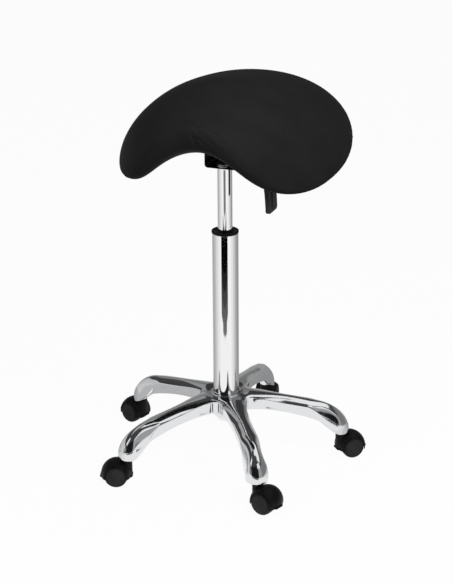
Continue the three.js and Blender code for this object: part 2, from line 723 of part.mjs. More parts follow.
// Side view of a bar of even thickness along a curve in the XZ plane.
function barOutline(curve, thickness, steps) {
  const upper = [];
  const lower = [];
  for (let i = 0; i <= steps; i++) {
    const point = curve.getPoint(i / steps);
    const along = curve.getTangent(i / steps);
    const out = new THREE.Vector2(-along.y, along.x).multiplyScalar(thickness / 2);
    upper.push(point.clone().add(out));
    lower.unshift(point.clone().sub(out));
  }
  return new THREE.Shape([...upper, ...lower]);
}

// The grip's middle line, from its root beside the bracket to its hanging tip.
function gripCurve() {
  const rootHeight = leverBottom + leverThickness / 2 - leverFall;
  return new THREE.CubicBezierCurve(
    new THREE.Vector2(gripRootReach, rootHeight),
    new THREE.Vector2(gripShoulderReach, rootHeight - gripShoulderDrop / 2),
    new THREE.Vector2(gripShoulderReach + gripThickness / 2, rootHeight - 2 * gripShoulderDrop),
    new THREE.Vector2(gripTipReach, rootHeight - gripDrop),
  );
}

function leverArm() {
  const middle = leverBottom + leverThickness / 2;
  const root = gripCurve();
  const start = root.getPoint(0);
  const into = root.getTangent(0).multiplyScalar(leverTail);
  const path = new THREE.CurvePath();
  const window = new THREE.Vector2(strapHalfWidth, middle);
  path.add(new THREE.LineCurve(new THREE.Vector2(-leverInnerReach, middle), window));
  const corner = new THREE.Vector2(mix(strapHalfWidth, leverKnee, 0.6), middle);
  path.add(new THREE.QuadraticBezierCurve(window, corner, start));
  path.add(new THREE.LineCurve(start, start.clone().add(into)));
  return extrudedAcross(barOutline(path, leverThickness, 14), leverWidth);
}

function leverGrip() {
  const curve = gripCurve();
  let body = solid(extrudedAcross(barOutline(curve, gripThickness + leverThickness / 2, 10), gripWidth));
  const tip = curve.getPoint(1);
  const ribDepth = gripThickness + leverThickness / 2 + 2 * gripRibRise;
  const rib = extrudedAcross(barOutline(curve, ribDepth, 10), gripRibWidth);
  const ribEnd = tip.y + gripCorner;
  body = body.add(solid(rib).subtract(solid(block(
    [0, -gripRibWidth, tip.y - overrun], [gripTipReach * 2, gripRibWidth, ribEnd],
  ))));
  for (const side of [-1, 1]) body = body.subtract(gripCornerCut(tip, side));
  const arm = barOutline(curve, leverThickness + 2 * gap, 10);
  const pocket = solid(extrudedAcross(arm, leverWidth + 2 * gap));
  const reach = curve.getTangent(0).multiplyScalar(leverTail + gap).add(curve.getPoint(0));
  const limit = block([0, -gripWidth, reach.y], [gripTipReach * 2, gripWidth, bracketTop]);
  return body.subtract(pocket.intersect(solid(limit))).subtract(solid(leverPocket()));
}

// Straight pocket for the lever's tail.
function leverPocket() {
  const curve = gripCurve();
  const start = curve.getPoint(0);
  const along = curve.getTangent(0);
  const back = start.clone().sub(along.clone().multiplyScalar(overrun));
  const end = start.clone().add(along.clone().multiplyScalar(leverTail + gap));
  const room = barOutline(new THREE.LineCurve(back, end), leverThickness + 2 * gap, 1);
  return extrudedAcross(room, leverWidth + 2 * gap);
}

// What is taken off a lower corner of the grip to round it.
function gripCornerCut(tip, side) {
  const edge = gripWidth / 2;
  const square = block(
    [0, Math.min(side * (edge - gripCorner), side * (edge + overrun)), tip.y - overrun],
    [gripTipReach * 2, Math.max(side * (edge - gripCorner), side * (edge + overrun)), tip.y + gripCorner],
  );
  const round = new THREE.CylinderGeometry(gripCorner, gripCorner, gripTipReach * 4, pinSides);
  round.rotateZ(Math.PI / 2).translate(gripTipReach, side * (edge - gripCorner), tip.y + gripCorner);
  return solid(square).subtract(solid(round));
}

function seatBolt(x, y) {
  const headTop = bracketTop - strapThickness - gap;
  return turned([
    [0, headTop - boltHeadHeight], [boltHeadRadius - boltHeadHeight / 4, headTop - boltHeadHeight],
    [boltHeadRadius, headTop - boltHeadHeight / 2], [boltHeadRadius, headTop],
    [boltRadius, headTop], [boltRadius, headTop + boltLength], [0, headTop + boltLength],
  ], pinSides).translate(x, y, 0);
}

function seatInsert(x, y) {
  const inner = boltRadius + gap;
  const bottom = padBottom + gap;
  return ring(inner, inner + insertWall, bottom, bottom + insertLength, pinSides).translate(x, y, 0);
}

function mechanism() {
  const pieces = [
    piece('seat_bracket', seatBracket(), blackSteel),
    piece('taper_socket', taperSocket(), steel),
    piece('lever_arm', leverArm(), blackSteel),
    piece('lever_grip', leverGrip(), blackNylon),
  ];
  boltPlaces.forEach(([x, y], i) => {
    pieces.push(piece(`seat_bolt_${i + 1}`, seatBolt(x, y), steel));
    pieces.push(piece(`seat_insert_${i + 1}`, seatInsert(x, y), steel));
  });
  return pieces;
}

// Seat: a pillow that is bent over an arch. Its arch is tight at the front and wide at the rear.

const dome = (share, power) => (1 - share ** power) ** (1 / power);

// A point on the seat's top (side 1) or underside (side -1), drawn in by inset.
function seatPoint(share, angle, side, inset) {
  const power = Math.sin(angle) > 0 ? seatRearPower : seatFrontPower;
  const rim = (Math.abs(Math.cos(angle)) ** power + Math.abs(Math.sin(angle)) ** power) ** (-1 / power);
  const along = share * rim * Math.sin(angle);
  const length = along > 0 ? seatRearLength : seatFrontLength;
  const halfWidth = seatHalfWidth * (1 + seatWideningShare * rim * Math.sin(angle)) - inset;
  const arc = share * rim * Math.cos(angle) * halfWidth;
  const bend = mix(seatFrontBend, seatRearBend, (1 + along) / 2);
  const turn = arc / bend;
  const lift = (along > 0 ? seatRearLift : seatFrontLift) * along;
  const crown = (seatCrown - inset) * (1 + seatCrownShare * along) * dome(share, seatCrownPower);
  const offset = side > 0 ? crown : -(seatBelly - inset) * dome(share, seatBellyPower);
  const middle = new THREE.Vector3(
    bend * Math.sin(turn), along * (length - inset), bend * (Math.cos(turn) - 1) + lift * along,
  );
  const normal = new THREE.Vector3(Math.sin(turn), (-2 * lift) / length, Math.cos(turn)).normalize();
  return middle.addScaledVector(normal, offset).add(new THREE.Vector3(0, seatSetBack, seatMiddle));
}

// Skins rings given as [share, side, inset]. A share of 0 closes an end in a point.
function seatShell(rings) {
  const sections = rings.map(([share, side, inset]) => {
    const angles = Array.from({ length: seatSides }, (_, i) => (2 * Math.PI * i) / seatSides);
    return angles.map((angle) => seatPoint(share, angle, side, inset));
  });
  return loft(sections);
}

const foamStepShare = panEdgeShare + (2 * gap) / seatHalfWidth;
const bellyShares = [...bellyInnerShares, hemShare, panEdgeShare, ...bellyOuterShares];

// The whole pillow, drawn in by inset.
function seatBody(inset) {
  const top = [0, ...crownShares].map((share) => [share, 1, inset]);
  const underside = [0, ...bellyShares].map((share) => [share, -1, inset]);
  return solid(seatShell([...top, ...underside.reverse()]));
}

// A dished plate that follows the underside, from just below it up to depth.
function bellyPlate(edgeShare, depth) {
  const shares = [0, ...bellyShares.filter((share) => share < edgeShare), edgeShare];
  const lower = shares.map((share) => [share, -1, -overrun]);
  const upper = shares.map((share) => [share, -1, depth]);
  return solid(seatShell([...lower, ...upper.reverse()]));
}

function seatCover() {
  const opening = bellyPlate(hemShare, coverThickness + overrun);
  return seatBody(0).subtract(seatBody(coverThickness)).subtract(opening);
}

function seatFoam() {
  return seatBody(liningInset).subtract(bellyPlate(foamStepShare, liningInset + panThickness + gap));
}

function seatPan() {
  const plate = seatBody(liningInset).intersect(bellyPlate(panEdgeShare, liningInset + panThickness));
  const halfWidth = strapHalfWidth + flangeLength + gap;
  const padFront = -strapFront - panPadMargin;
  const padRear = strapRear + panPadMargin;
  const pad = block([-halfWidth, padFront, padBottom], [halfWidth, padRear, seatMiddle]);
  let pan = plate.add(solid(pad).subtract(seatBody(liningInset + panThickness / 2)));
  const bore = (radius, top, x, y) => solid(disc(radius, padBottom - overrun, top, pinSides).translate(x, y, 0));
  for (const [x, y] of boltPlaces) {
    pan = pan
      .subtract(bore(boltRadius + gap + insertWall + gap, padBottom + 2 * gap + insertLength, x, y))
      .subtract(bore(boltRadius + gap, bracketTop - strapThickness + boltLength, x, y));
  }
  return pan;
}

const stool = new THREE.Group();
stool.name = 'saddle_stool';
stool.add(starBase());
casterNames.forEach((label, i) => {
  stool.add(caster(label, rearArmAngle + (360 / armCount) * i, trailAngles[i]));
});
stool.add(...gasLift(), ...mechanism());
stool.add(
  piece('seat_pan', seatPan(), plywood),
  piece('seat_foam', seatFoam(), foam),
  piece('seat_cover', seatCover(), leather),
);

export default stool;
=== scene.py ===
# Looks of a saddle stool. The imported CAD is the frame, and every visible piece is remodelled round it.
# Metres, +Z up, the column on the Z axis, the sitter facing -Y. Sizes in the dictionaries are millimetres.
import math

import bpy
import numpy as np
from mathutils import Matrix, Vector, kdtree
from mathutils.bvhtree import BVHTree


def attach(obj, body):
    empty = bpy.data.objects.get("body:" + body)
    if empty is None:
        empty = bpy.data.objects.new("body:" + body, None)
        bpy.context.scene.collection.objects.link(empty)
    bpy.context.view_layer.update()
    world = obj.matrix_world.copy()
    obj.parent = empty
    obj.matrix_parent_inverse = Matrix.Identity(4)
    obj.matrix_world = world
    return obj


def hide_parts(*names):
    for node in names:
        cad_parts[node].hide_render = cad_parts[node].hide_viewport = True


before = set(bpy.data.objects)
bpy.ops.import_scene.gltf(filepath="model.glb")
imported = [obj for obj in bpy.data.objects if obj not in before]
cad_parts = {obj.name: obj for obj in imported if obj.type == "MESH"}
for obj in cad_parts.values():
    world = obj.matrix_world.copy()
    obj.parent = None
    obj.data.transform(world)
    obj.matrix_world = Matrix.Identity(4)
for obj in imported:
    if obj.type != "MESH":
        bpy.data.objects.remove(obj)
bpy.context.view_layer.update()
mm = 0.001

# ---- small helpers for modelling ----


def deselectAll():
    if bpy.context.object and bpy.context.object.mode != "OBJECT":
        bpy.ops.object.mode_set(mode="OBJECT")
    bpy.ops.object.select_all(action="DESELECT")


def pick(*pieces):
    deselectAll()
    for piece in pieces:
        piece.select_set(True)
    bpy.context.view_layer.objects.active = pieces[0]


def named(name):
    # the piece that an operator has just added
    piece = bpy.context.object
    piece.name = piece.data.name = name
    return piece


def applyPlace():
    bpy.ops.object.transform_apply(location=True, rotation=True, scale=True)


def edit(piece, selectMode="VERT"):
    pick(piece)
    bpy.ops.object.mode_set(mode="EDIT")
    bpy.ops.mesh.select_mode(type=selectMode)
    bpy.ops.mesh.select_all(action="DESELECT")


def selectFaces(piece, wanted):
    # wanted takes a face's centre in millimetres and its normal
    edit(piece, "FACE")
    bpy.ops.object.mode_set(mode="OBJECT")
    for face in piece.data.polygons:
        face.select = wanted(face.center / mm, face.normal)
    bpy.ops.object.mode_set(mode="EDIT")


def selectEdges(piece, wanted):
    # wanted takes an edge's two ends in millimetres
    edit(piece, "EDGE")
    bpy.ops.object.mode_set(mode="OBJECT")
    places = [vertex.co / mm for vertex in piece.data.vertices]
    for line in piece.data.edges:
        line.select = wanted(places[line.vertices[0]], places[line.vertices[1]])
    bpy.ops.object.mode_set(mode="EDIT")


def mendNormals(piece):
    edit(piece)
    bpy.ops.mesh.select_all(action="SELECT")
    bpy.ops.mesh.remove_doubles(threshold=0.00001)
    bpy.ops.mesh.normals_make_consistent(inside=False)
    bpy.ops.object.mode_set(mode="OBJECT")


def modify(piece, kind, **settings):
    pick(piece)
    modifier = piece.modifiers.new(kind.lower(), kind)
    for name, value in settings.items():
        setattr(modifier, name, value)
    bpy.ops.object.modifier_apply(modifier=modifier.name)


def roundEdges(piece, width, segments=2, angle=40):
    modify(piece, "BEVEL", width=width * mm, segments=segments, limit_method="ANGLE",
           angle_limit=math.radians(angle), use_clamp_overlap=True)


def join(first, *others):
    pick(first, *others)
    bpy.ops.object.join()
    return first


def cut(piece, tool, operation="DIFFERENCE"):
    modify(piece, "BOOLEAN", object=tool, operation=operation, solver="EXACT")
    bpy.data.objects.remove(tool)


def place(piece, turn=0, move=(0, 0, 0)):
    # turns a finished mesh about Z by degrees and moves it by millimetres
    piece.data.transform(Matrix.Translation(Vector(move) * mm) @ Matrix.Rotation(math.radians(turn), 4, "Z"))
    piece.data.update()


def copyOf(piece, name):
    twin = piece.copy()
    twin.data = piece.data.copy()
    twin.name = twin.data.name = name
    bpy.context.scene.collection.objects.link(twin)
    return twin


def finished(piece, body, material, replaced=(), smooth=35, weighted=True):
    pick(piece)
    applyPlace()
    bpy.ops.object.shade_smooth_by_angle(angle=math.radians(smooth))
    if weighted:
        modify(piece, "WEIGHTED_NORMAL", keep_sharp=True)
    piece.data.materials.clear()
    piece.data.materials.append(material)
    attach(piece, body)
    if replaced:
        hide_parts(*replaced)
    return piece


def chain(name, path):
    # a row of edges drawn point by point, in millimetres
    deselectAll()
    bpy.ops.mesh.primitive_plane_add(size=mm, location=Vector(path[0]) * mm)
    piece = named(name)
    bpy.ops.object.mode_set(mode="EDIT")
    bpy.ops.mesh.select_mode(type="VERT")  # a point can't be extruded while faces or edges are picked
    bpy.ops.mesh.select_all(action="SELECT")
    bpy.ops.mesh.merge(type="CENTER")
    for start, end in zip(path, path[1:]):
        step = (Vector(end) - Vector(start)) * mm
        bpy.ops.mesh.extrude_region_move(TRANSFORM_OT_translate={"value": step})
    return piece


def turned(name, pairs, sides, centre=(0, 0, 0), axis=(0, 0, 1)):
    # a profile of [radius, distance along the axis] pairs, drawn as a chain and spun round
    centre, axis = Vector(centre), Vector(axis)
    piece = chain(name, [centre + Vector((radius, 0, 0)) + axis * along for radius, along in pairs])
    bpy.ops.mesh.select_all(action="SELECT")
    bpy.ops.mesh.spin(steps=sides, angle=2 * math.pi, center=centre * mm, axis=axis)
    pick(piece)
    applyPlace()
    mendNormals(piece)
    return piece


def strip(name, path, widths):
    # a chain of points drawn out sideways along Y, column by column
    piece = chain(name, [(x, widths[0], z) for x, z in path])
    bpy.ops.mesh.select_all(action="SELECT")
    for start, end in zip(widths, widths[1:]):
        bpy.ops.mesh.extrude_region_move(TRANSFORM_OT_translate={"value": (0, (end - start) * mm, 0)})
    pick(piece)
    applyPlace()
    mendNormals(piece)
    return piece


def rod(name, radius, low, high, sides, place=(0, 0)):
    deselectAll()
    bpy.ops.mesh.primitive_cylinder_add(vertices=sides, radius=radius * mm, depth=(high - low) * mm,
                                        location=Vector((place[0], place[1], (low + high) / 2)) * mm)
    piece = named(name)
    applyPlace()
    return piece


def block(name, low, high):
    deselectAll()
    low, high = Vector(low), Vector(high)
    bpy.ops.mesh.primitive_cube_add(size=1, location=(low + high) / 2 * mm, scale=(high - low) * mm)
    piece = named(name)
    applyPlace()
    return piece


def rounded(pairs, corners, radius, steps=3):
    # replaces the numbered corners of a profile by arcs
    result = []
    for i, pair in enumerate(pairs):
        if i not in corners:
            result.append(tuple(pair))
            continue
        here, before, after = (Vector(pairs[k]) for k in (i, i - 1, i + 1))
        reach = min(radius, (before - here).length * 0.48, (after - here).length * 0.48)
        start = here + (before - here).normalized() * reach
        end = here + (after - here).normalized() * reach
        for k in range(steps + 1):
            t = k / steps
            result.append(tuple(start * (1 - t) ** 2 + here * 2 * t * (1 - t) + end * t ** 2))
    return result


def mix(start, end, share):
    return start + (end - start) * share


def eased(share):
    # a share from 0 to 1, slow at both ends
    return share * share * (3 - 2 * share)


# ---- materials ----


def linear(hexText):
    values = [int(hexText[i:i + 2], 16) / 255 for i in (1, 3, 5)]
    return [v / 12.92 if v <= 0.04045 else ((v + 0.055) / 1.055) ** 2.4 for v in values] + [1]


def addNode(tree, kind, settings=None, links=None):
    node = tree.nodes.new(kind)
    for name, value in (settings or {}).items():
        if isinstance(name, int) or name in node.inputs:
            node.inputs[name].default_value = value
        else:
            setattr(node, name, value)
    for name, (source, output) in (links or {}).items():
        tree.links.new(source.outputs[output], node.inputs[name])
    return node


def newMaterial(name, settings):
    material = bpy.data.materials.new(name)
    material.use_nodes = True
    tree = material.node_tree
    tree.nodes.clear()
    shader = addNode(tree, "ShaderNodeBsdfPrincipled", settings)
    addNode(tree, "ShaderNodeOutputMaterial", links={"Surface": (shader, "BSDF")})
    coords = addNode(tree, "ShaderNodeTexCoord")
    return material, tree, shader, coords


def grain(tree, coords, size, detail=2, rough=0.5):
    # noise whose blotches are about size millimetres across
    settings = {"Scale": 1 / (size * mm), "Detail": detail, "Roughness": rough}
    return addNode(tree, "ShaderNodeTexNoise", settings, {"Vector": (coords, "Object")})


def colourBetween(tree, shader, source, dark, light, low=0.35, high=0.65):
    ramp = addNode(tree, "ShaderNodeValToRGB", links={"Fac": source})
    for stop, place, colour in zip(ramp.color_ramp.elements, (low, high), (dark, light)):
        stop.position, stop.color = place, linear(colour)
    tree.links.new(ramp.outputs["Color"], shader.inputs["Base Color"])


def valueBetween(tree, shader, source, socket, low, high):
    spread = addNode(tree, "ShaderNodeMapRange",
                     {"From Min": 0.3, "From Max": 0.7, "To Min": low, "To Max": high}, {"Value": source})
    tree.links.new(spread.outputs["Result"], shader.inputs[socket])


def bumps(tree, shader, source, height, strength=1.0, under=None):
    links = {"Height": source}
    if under:
        links["Normal"] = (under, "Normal")
    bump = addNode(tree, "ShaderNodeBump", {"Strength": strength, "Distance": height * mm}, links)
    tree.links.new(bump.outputs["Normal"], shader.inputs["Normal"])
    return bump


leatherLook = {"grain": 1.6, "pores": 0.5, "grainHeight": 0.07, "dark": "#1c1c1c", "light": "#1f1f1f"}


def makeLeatherette():
    # PU leatherette, embossed with a fine pebble grain: a soft, satin black with hardly any gloss
    material, tree, shader, coords = newMaterial("blackLeatherette", {
        "Specular IOR Level": 0.02, "IOR": 1.47})
    patches = grain(tree, coords, 60, 3)
    colourBetween(tree, shader, (patches, "Fac"), leatherLook["dark"], leatherLook["light"])
    valueBetween(tree, shader, (patches, "Fac"), "Roughness", 0.54, 0.62)
    pebbles = addNode(tree, "ShaderNodeTexVoronoi",
                      {"feature": "SMOOTH_F1", "Scale": 1 / (leatherLook["grain"] * mm), "Smoothness": 0.6},
                      {"Vector": (coords, "Object")})
    pebbleBump = bumps(tree, shader, (pebbles, "Distance"), leatherLook["grainHeight"], 0.6)
    pores = grain(tree, coords, leatherLook["pores"], 2)
    bumps(tree, shader, (pores, "Fac"), leatherLook["grainHeight"] / 2, 0.4, pebbleBump)
    return material


def makeMetal(name, colour, roughLow, roughHigh, patchSize, wave=None):
    # a metal with faint patches in its gloss; wave is [size, height] of the slow ripple left by polishing
    material, tree, shader, coords = newMaterial(name, {"Metallic": 1.0, "Base Color": linear(colour)})
    patches = grain(tree, coords, patchSize, 3)
    valueBetween(tree, shader, (patches, "Fac"), "Roughness", roughLow, roughHigh)
    if wave:
        ripple = grain(tree, coords, wave[0], 1, 0.3)
        bumps(tree, shader, (ripple, "Fac"), wave[1])
    return material


def makePlastic(name, dark, light, roughLow, roughHigh, textureSize, textureHeight):
    # moulded plastic or rubber with a fine spark-eroded texture and slightly uneven colour
    material, tree, shader, coords = newMaterial(name, {"IOR": 1.5, "Specular IOR Level": 0.12})
    patches = grain(tree, coords, 18, 3)
    colourBetween(tree, shader, (patches, "Fac"), dark, light)
    valueBetween(tree, shader, (patches, "Fac"), "Roughness", roughLow, roughHigh)
    texture = grain(tree, coords, textureSize, 2)
    bumps(tree, shader, (texture, "Fac"), textureHeight, 0.5)
    return material


def makeStainedPly():
    # moulded plywood, sprayed matt black: the long grain still shows as fine ridges
    material, tree, shader, coords = newMaterial("blackStainedPlywood", {
        "IOR": 1.45, "Specular IOR Level": 0.25})
    stretched = addNode(tree, "ShaderNodeMapping", {"Scale": (1.0, 0.05, 1.0)},
                        {"Vector": (coords, "Object")})
    fibres = addNode(tree, "ShaderNodeTexNoise", {"Scale": 260, "Detail": 4, "Distortion": 0.5},
                     {"Vector": (stretched, "Vector")})
    colourBetween(tree, shader, (fibres, "Fac"), "#121110", "#1f1d1b")
    valueBetween(tree, shader, (fibres, "Fac"), "Roughness", 0.6, 0.75)
    bumps(tree, shader, (fibres, "Fac"), 0.2, 0.5)
    return material


leatherette = makeLeatherette()
chrome = makeMetal("chromePlatedSteel", "#f1f1f2", 0.04, 0.06, 40)
castAluminium = makeMetal("polishedCastAluminium", "#e3e4e6", 0.08, 0.12, 12, (38, 0.25))
zincSteel = makeMetal("zincPlatedSteel", "#b4b6b8", 0.28, 0.42, 6, (1.2, 0.02))
blackNylon = makePlastic("blackMouldedNylon", "#0a0a0a", "#0f0f10", 0.4, 0.5, 0.7, 0.03)
wheelNylon = makePlastic("blackWheelNylon", "#222223", "#2a2a2b", 0.44, 0.54, 0.9, 0.03)
paintedSteel = makePlastic("blackPowderCoatedSteel", "#0e0e0f", "#141415", 0.4, 0.5, 1.1, 0.05)
gripPlastic = makePlastic("blackPolypropylene", "#272728", "#2f2f30", 0.42, 0.5, 0.8, 0.03)
rubber = makePlastic("blackRubber", "#101010", "#161616", 0.7, 0.85, 0.8, 0.04)
stainedPly = makeStainedPly()
print("materials made")

# ---- star base ----

base = {
    "stemCircle": 225.3, "noseOverhang": 15.5, "noseHalfWidth": 21.8, "noseStartInside": 7,
    "waistRadius": 120, "waistHalfWidth": 18.2, "rootHalfWidth": 27.5, "rootPower": 1.3, "footPower": 3.5,
    "wall": 3.6, "wallHeight": 28.6, "wallGain": 7, "wallRecess": 3.4, "recessStart": 52, "recessLength": 24,
    "archStart": 160, "archEnd": 216, "rim": 7, "shoulder": 10.5, "rootShoulder": 4.5, "shoulderStart": 50,
    "slope": 36, "slopePower": 1.75, "curlStartInside": 40, "hemStartInside": 43, "hemPower": 1.5,
    "crestPower": 2.1, "crestBelowHub": 0.6, "crestRise": 3.1, "riseStart": 29, "riseLength": 21,
    "tipHeight": 3, "hubTop": 137.3, "noseBottom": 55.6, "hubHole": 25.6, "axisAtHub": 33,
    "filletRadius": 14, "filletReach": 46.0, "straightStart": 45, "straightLength": 45,
    "arcTilt": 52, "arcShare": 0.965, "edgeDrop": 0.16, "roundStart": 130, "roundEnd": 190,
    "hubRows": 7, "filletRows": 10, "armRows": 44, "noseRows": 18,
    "arcColumns": 12, "edgeColumns": 6, "wallColumns": 7,
}
halfArm = math.radians(36)  # half the angle between two arms
armReach = base["stemCircle"] + base["noseOverhang"]


def armHalfWidth(reach):
    outer = reach > base["waistRadius"]
    end = np.where(outer, base["stemCircle"] - base["noseStartInside"], 0)
    endHalfWidth = np.where(outer, base["noseHalfWidth"], base["rootHalfWidth"])
    share = np.clip((reach - base["waistRadius"]) / (end - base["waistRadius"]), 0, 1)
    power = np.where(outer, base["footPower"], base["rootPower"])
    return mix(base["waistHalfWidth"], endHalfWidth, share ** power)


def armCrest(reach):
    start = base["stemCircle"] - base["curlStartInside"]
    top = base["hubTop"] - base["crestBelowHub"] + base["crestRise"]
    fromRing = np.clip((reach - base["riseStart"]) / base["riseLength"], 0, 1)
    sunk = base["crestRise"] * (1 - eased(fromRing))
    line = top - sunk - base["slope"] * (reach / armReach) ** base["slopePower"]
    curl = top - base["slope"] - base["noseBottom"] - base["tipHeight"]
    share = np.clip((reach - start) / (armReach - start), 0, 1)
    return line - curl * (1 - np.sqrt(1 - share ** 2))


def armHem(reach):
    start = base["stemCircle"] - base["hemStartInside"]
    line = armCrest(np.minimum(reach, start)) - base["wallHeight"]
    line = line - base["wallGain"] * np.clip(reach / start, 0, 1) ** 4
    share = np.clip((reach - start) / (base["stemCircle"] - start), 0, 1)
    return mix(base["noseBottom"], line, (1 - share) ** base["hemPower"])


def armShoulder(reach, crest):
    # where the rounded crest meets the wall: it sinks to a low rim round the nose, which is a dome
    out = np.clip((reach - base["shoulderStart"]) / (base["waistRadius"] - base["shoulderStart"]), 0, 1)
    drop = mix(base["rootShoulder"], base["shoulder"], eased(out))
    share = np.clip((reach - base["archStart"]) / (base["archEnd"] - base["archStart"]), 0, 1)
    return np.minimum(mix(crest - drop, base["noseBottom"] + base["rim"], eased(share)), crest)


def filletCentre():
    # the round between two arms touches the side of each, and its centre is on the line halfway between them
    besideFillet = float(armHalfWidth(np.array(base["filletReach"])))
    distance = (base["filletRadius"] + besideFillet) / math.sin(halfArm)
    return distance * math.cos(halfArm), distance * math.sin(halfArm)


def armOutline():
    # rows from the hub's hole to the nose's tip: the reach on the arm's axis, the point on its edge, and how
    # far the row follows the round hole
    hole, axisAtHub = base["hubHole"], base["axisAtHub"]
    fx, fy = filletCentre()
    valley = math.hypot(fx, fy) - base["filletRadius"]
    rows = []
    for i in range(base["hubRows"]):
        share = i / base["hubRows"]
        edge = mix(hole, valley, share)
        corner = (edge * math.cos(halfArm), edge * math.sin(halfArm))
        rows.append((mix(hole, axisAtHub, share), corner, 1 - share))
    for i in range(base["filletRows"]):
        angle = mix(math.radians(216), math.radians(270), i / base["filletRows"])
        edge = (fx + base["filletRadius"] * math.cos(angle), fy + base["filletRadius"] * math.sin(angle))
        rows.append((mix(axisAtHub, fx, i / base["filletRows"]), edge, 0))
    noseStart = base["stemCircle"] - base["noseStartInside"]
    for i in range(base["armRows"]):
        reach = mix(fx, noseStart, i / base["armRows"])
        rows.append((reach, (reach, float(armHalfWidth(np.array(reach)))), 0))
    for i in range(base["noseRows"] + 1):
        angle = math.pi / 2 * min(i / base["noseRows"], 0.9995)
        reach = noseStart + (armReach - noseStart) * math.sin(angle)
        rows.append((reach, (reach, base["noseHalfWidth"] * math.cos(angle)), 0))
    return rows


def crestColumns():
    # across the crest: a shallow arc from the arm's axis, then a tight round that turns down into the wall
    tilt = math.radians(base["arcTilt"])
    turns = np.linspace(tilt, math.pi / 2, base["edgeColumns"] + 1)[1:]
    edge = mix(base["arcShare"], 1, (np.sin(turns) - math.sin(tilt)) / (1 - math.sin(tilt)))
    shares = np.concatenate([np.linspace(0, base["arcShare"], base["arcColumns"]), edge])
    bow = np.linspace(0, math.sin(tilt), base["arcColumns"])
    fall = (1 - np.sqrt(1 - bow ** 2)) / (1 - math.cos(tilt))
    edgeHeights = base["edgeDrop"] * np.cos(turns) / math.cos(tilt)
    return shares, np.concatenate([1 - (1 - base["edgeDrop"]) * fall, edgeHeights])


def armSurface():
    # places for every vertex of half an arm: over the crest from its axis to its edge, then down the wall
    rows = armOutline()
    acrossShares, heights = crestColumns()
    columns = len(acrossShares)
    fx, fy = filletCentre()
    grid = np.zeros((len(rows), columns + base["wallColumns"], 3))
    for r, (axis, edge, roundShare) in enumerate(rows):
        for c, share in enumerate(acrossShares):
            line = np.array([mix(axis, edge[0], share), mix(0, edge[1], share)])
            turn = math.atan2(edge[1], edge[0]) * share
            arc = np.array([axis * math.cos(turn), axis * math.sin(turn)])
            grid[r, c, :2] = mix(line, arc, roundShare)
    x, y = grid[:, :columns, 0], grid[:, :columns, 1]
    inner = x < fx
    far = np.clip((np.hypot(x, y) - base["straightStart"]) / base["straightLength"], 0, 1)
    reach = mix(np.hypot(x, y), x, eased(far))
    fromEdge = np.hypot(x - fx, y - fy) - base["filletRadius"]
    halfWidth = np.maximum(np.array([row[1][1] for row in rows]), 1e-6)[:, None] * np.ones_like(x)
    edgeShare = np.where(inner, 1 - fromEdge / armHalfWidth(np.array(fx)), np.clip(y / halfWidth, 0, 1))
    edgeShare = np.clip(edgeShare, 0, 1)
    roundness = np.clip((reach - base["roundStart"]) / (base["roundEnd"] - base["roundStart"]), 0, 1)
    full = (1 - edgeShare ** base["crestPower"]) ** (1 / base["crestPower"])
    up = mix(np.interp(edgeShare, acrossShares, heights), full, eased(roundness))
    crest, hem = armCrest(reach), armHem(reach)
    shoulder = armShoulder(reach, crest)
    grid[:, :columns, 2] = mix(shoulder, crest, up)
    return grid, hem[:, -1]


def wallRecess(reach, halfWidth, share):
    # the wall leans in below the crest, up to the round foot that holds the caster's stem
    noseStart = base["stemCircle"] - base["noseStartInside"]
    foot = np.sqrt(np.clip(base["noseHalfWidth"] ** 2 - np.clip(noseStart - reach, 0, None) ** 2, 0, None))
    lean = base["wallRecess"] * np.clip((reach - base["recessStart"]) / base["recessLength"], 0, 1)
    lean = lean * min(1, 1.6 * share)
    return np.clip(np.minimum(lean, halfWidth - foot), 0, None)


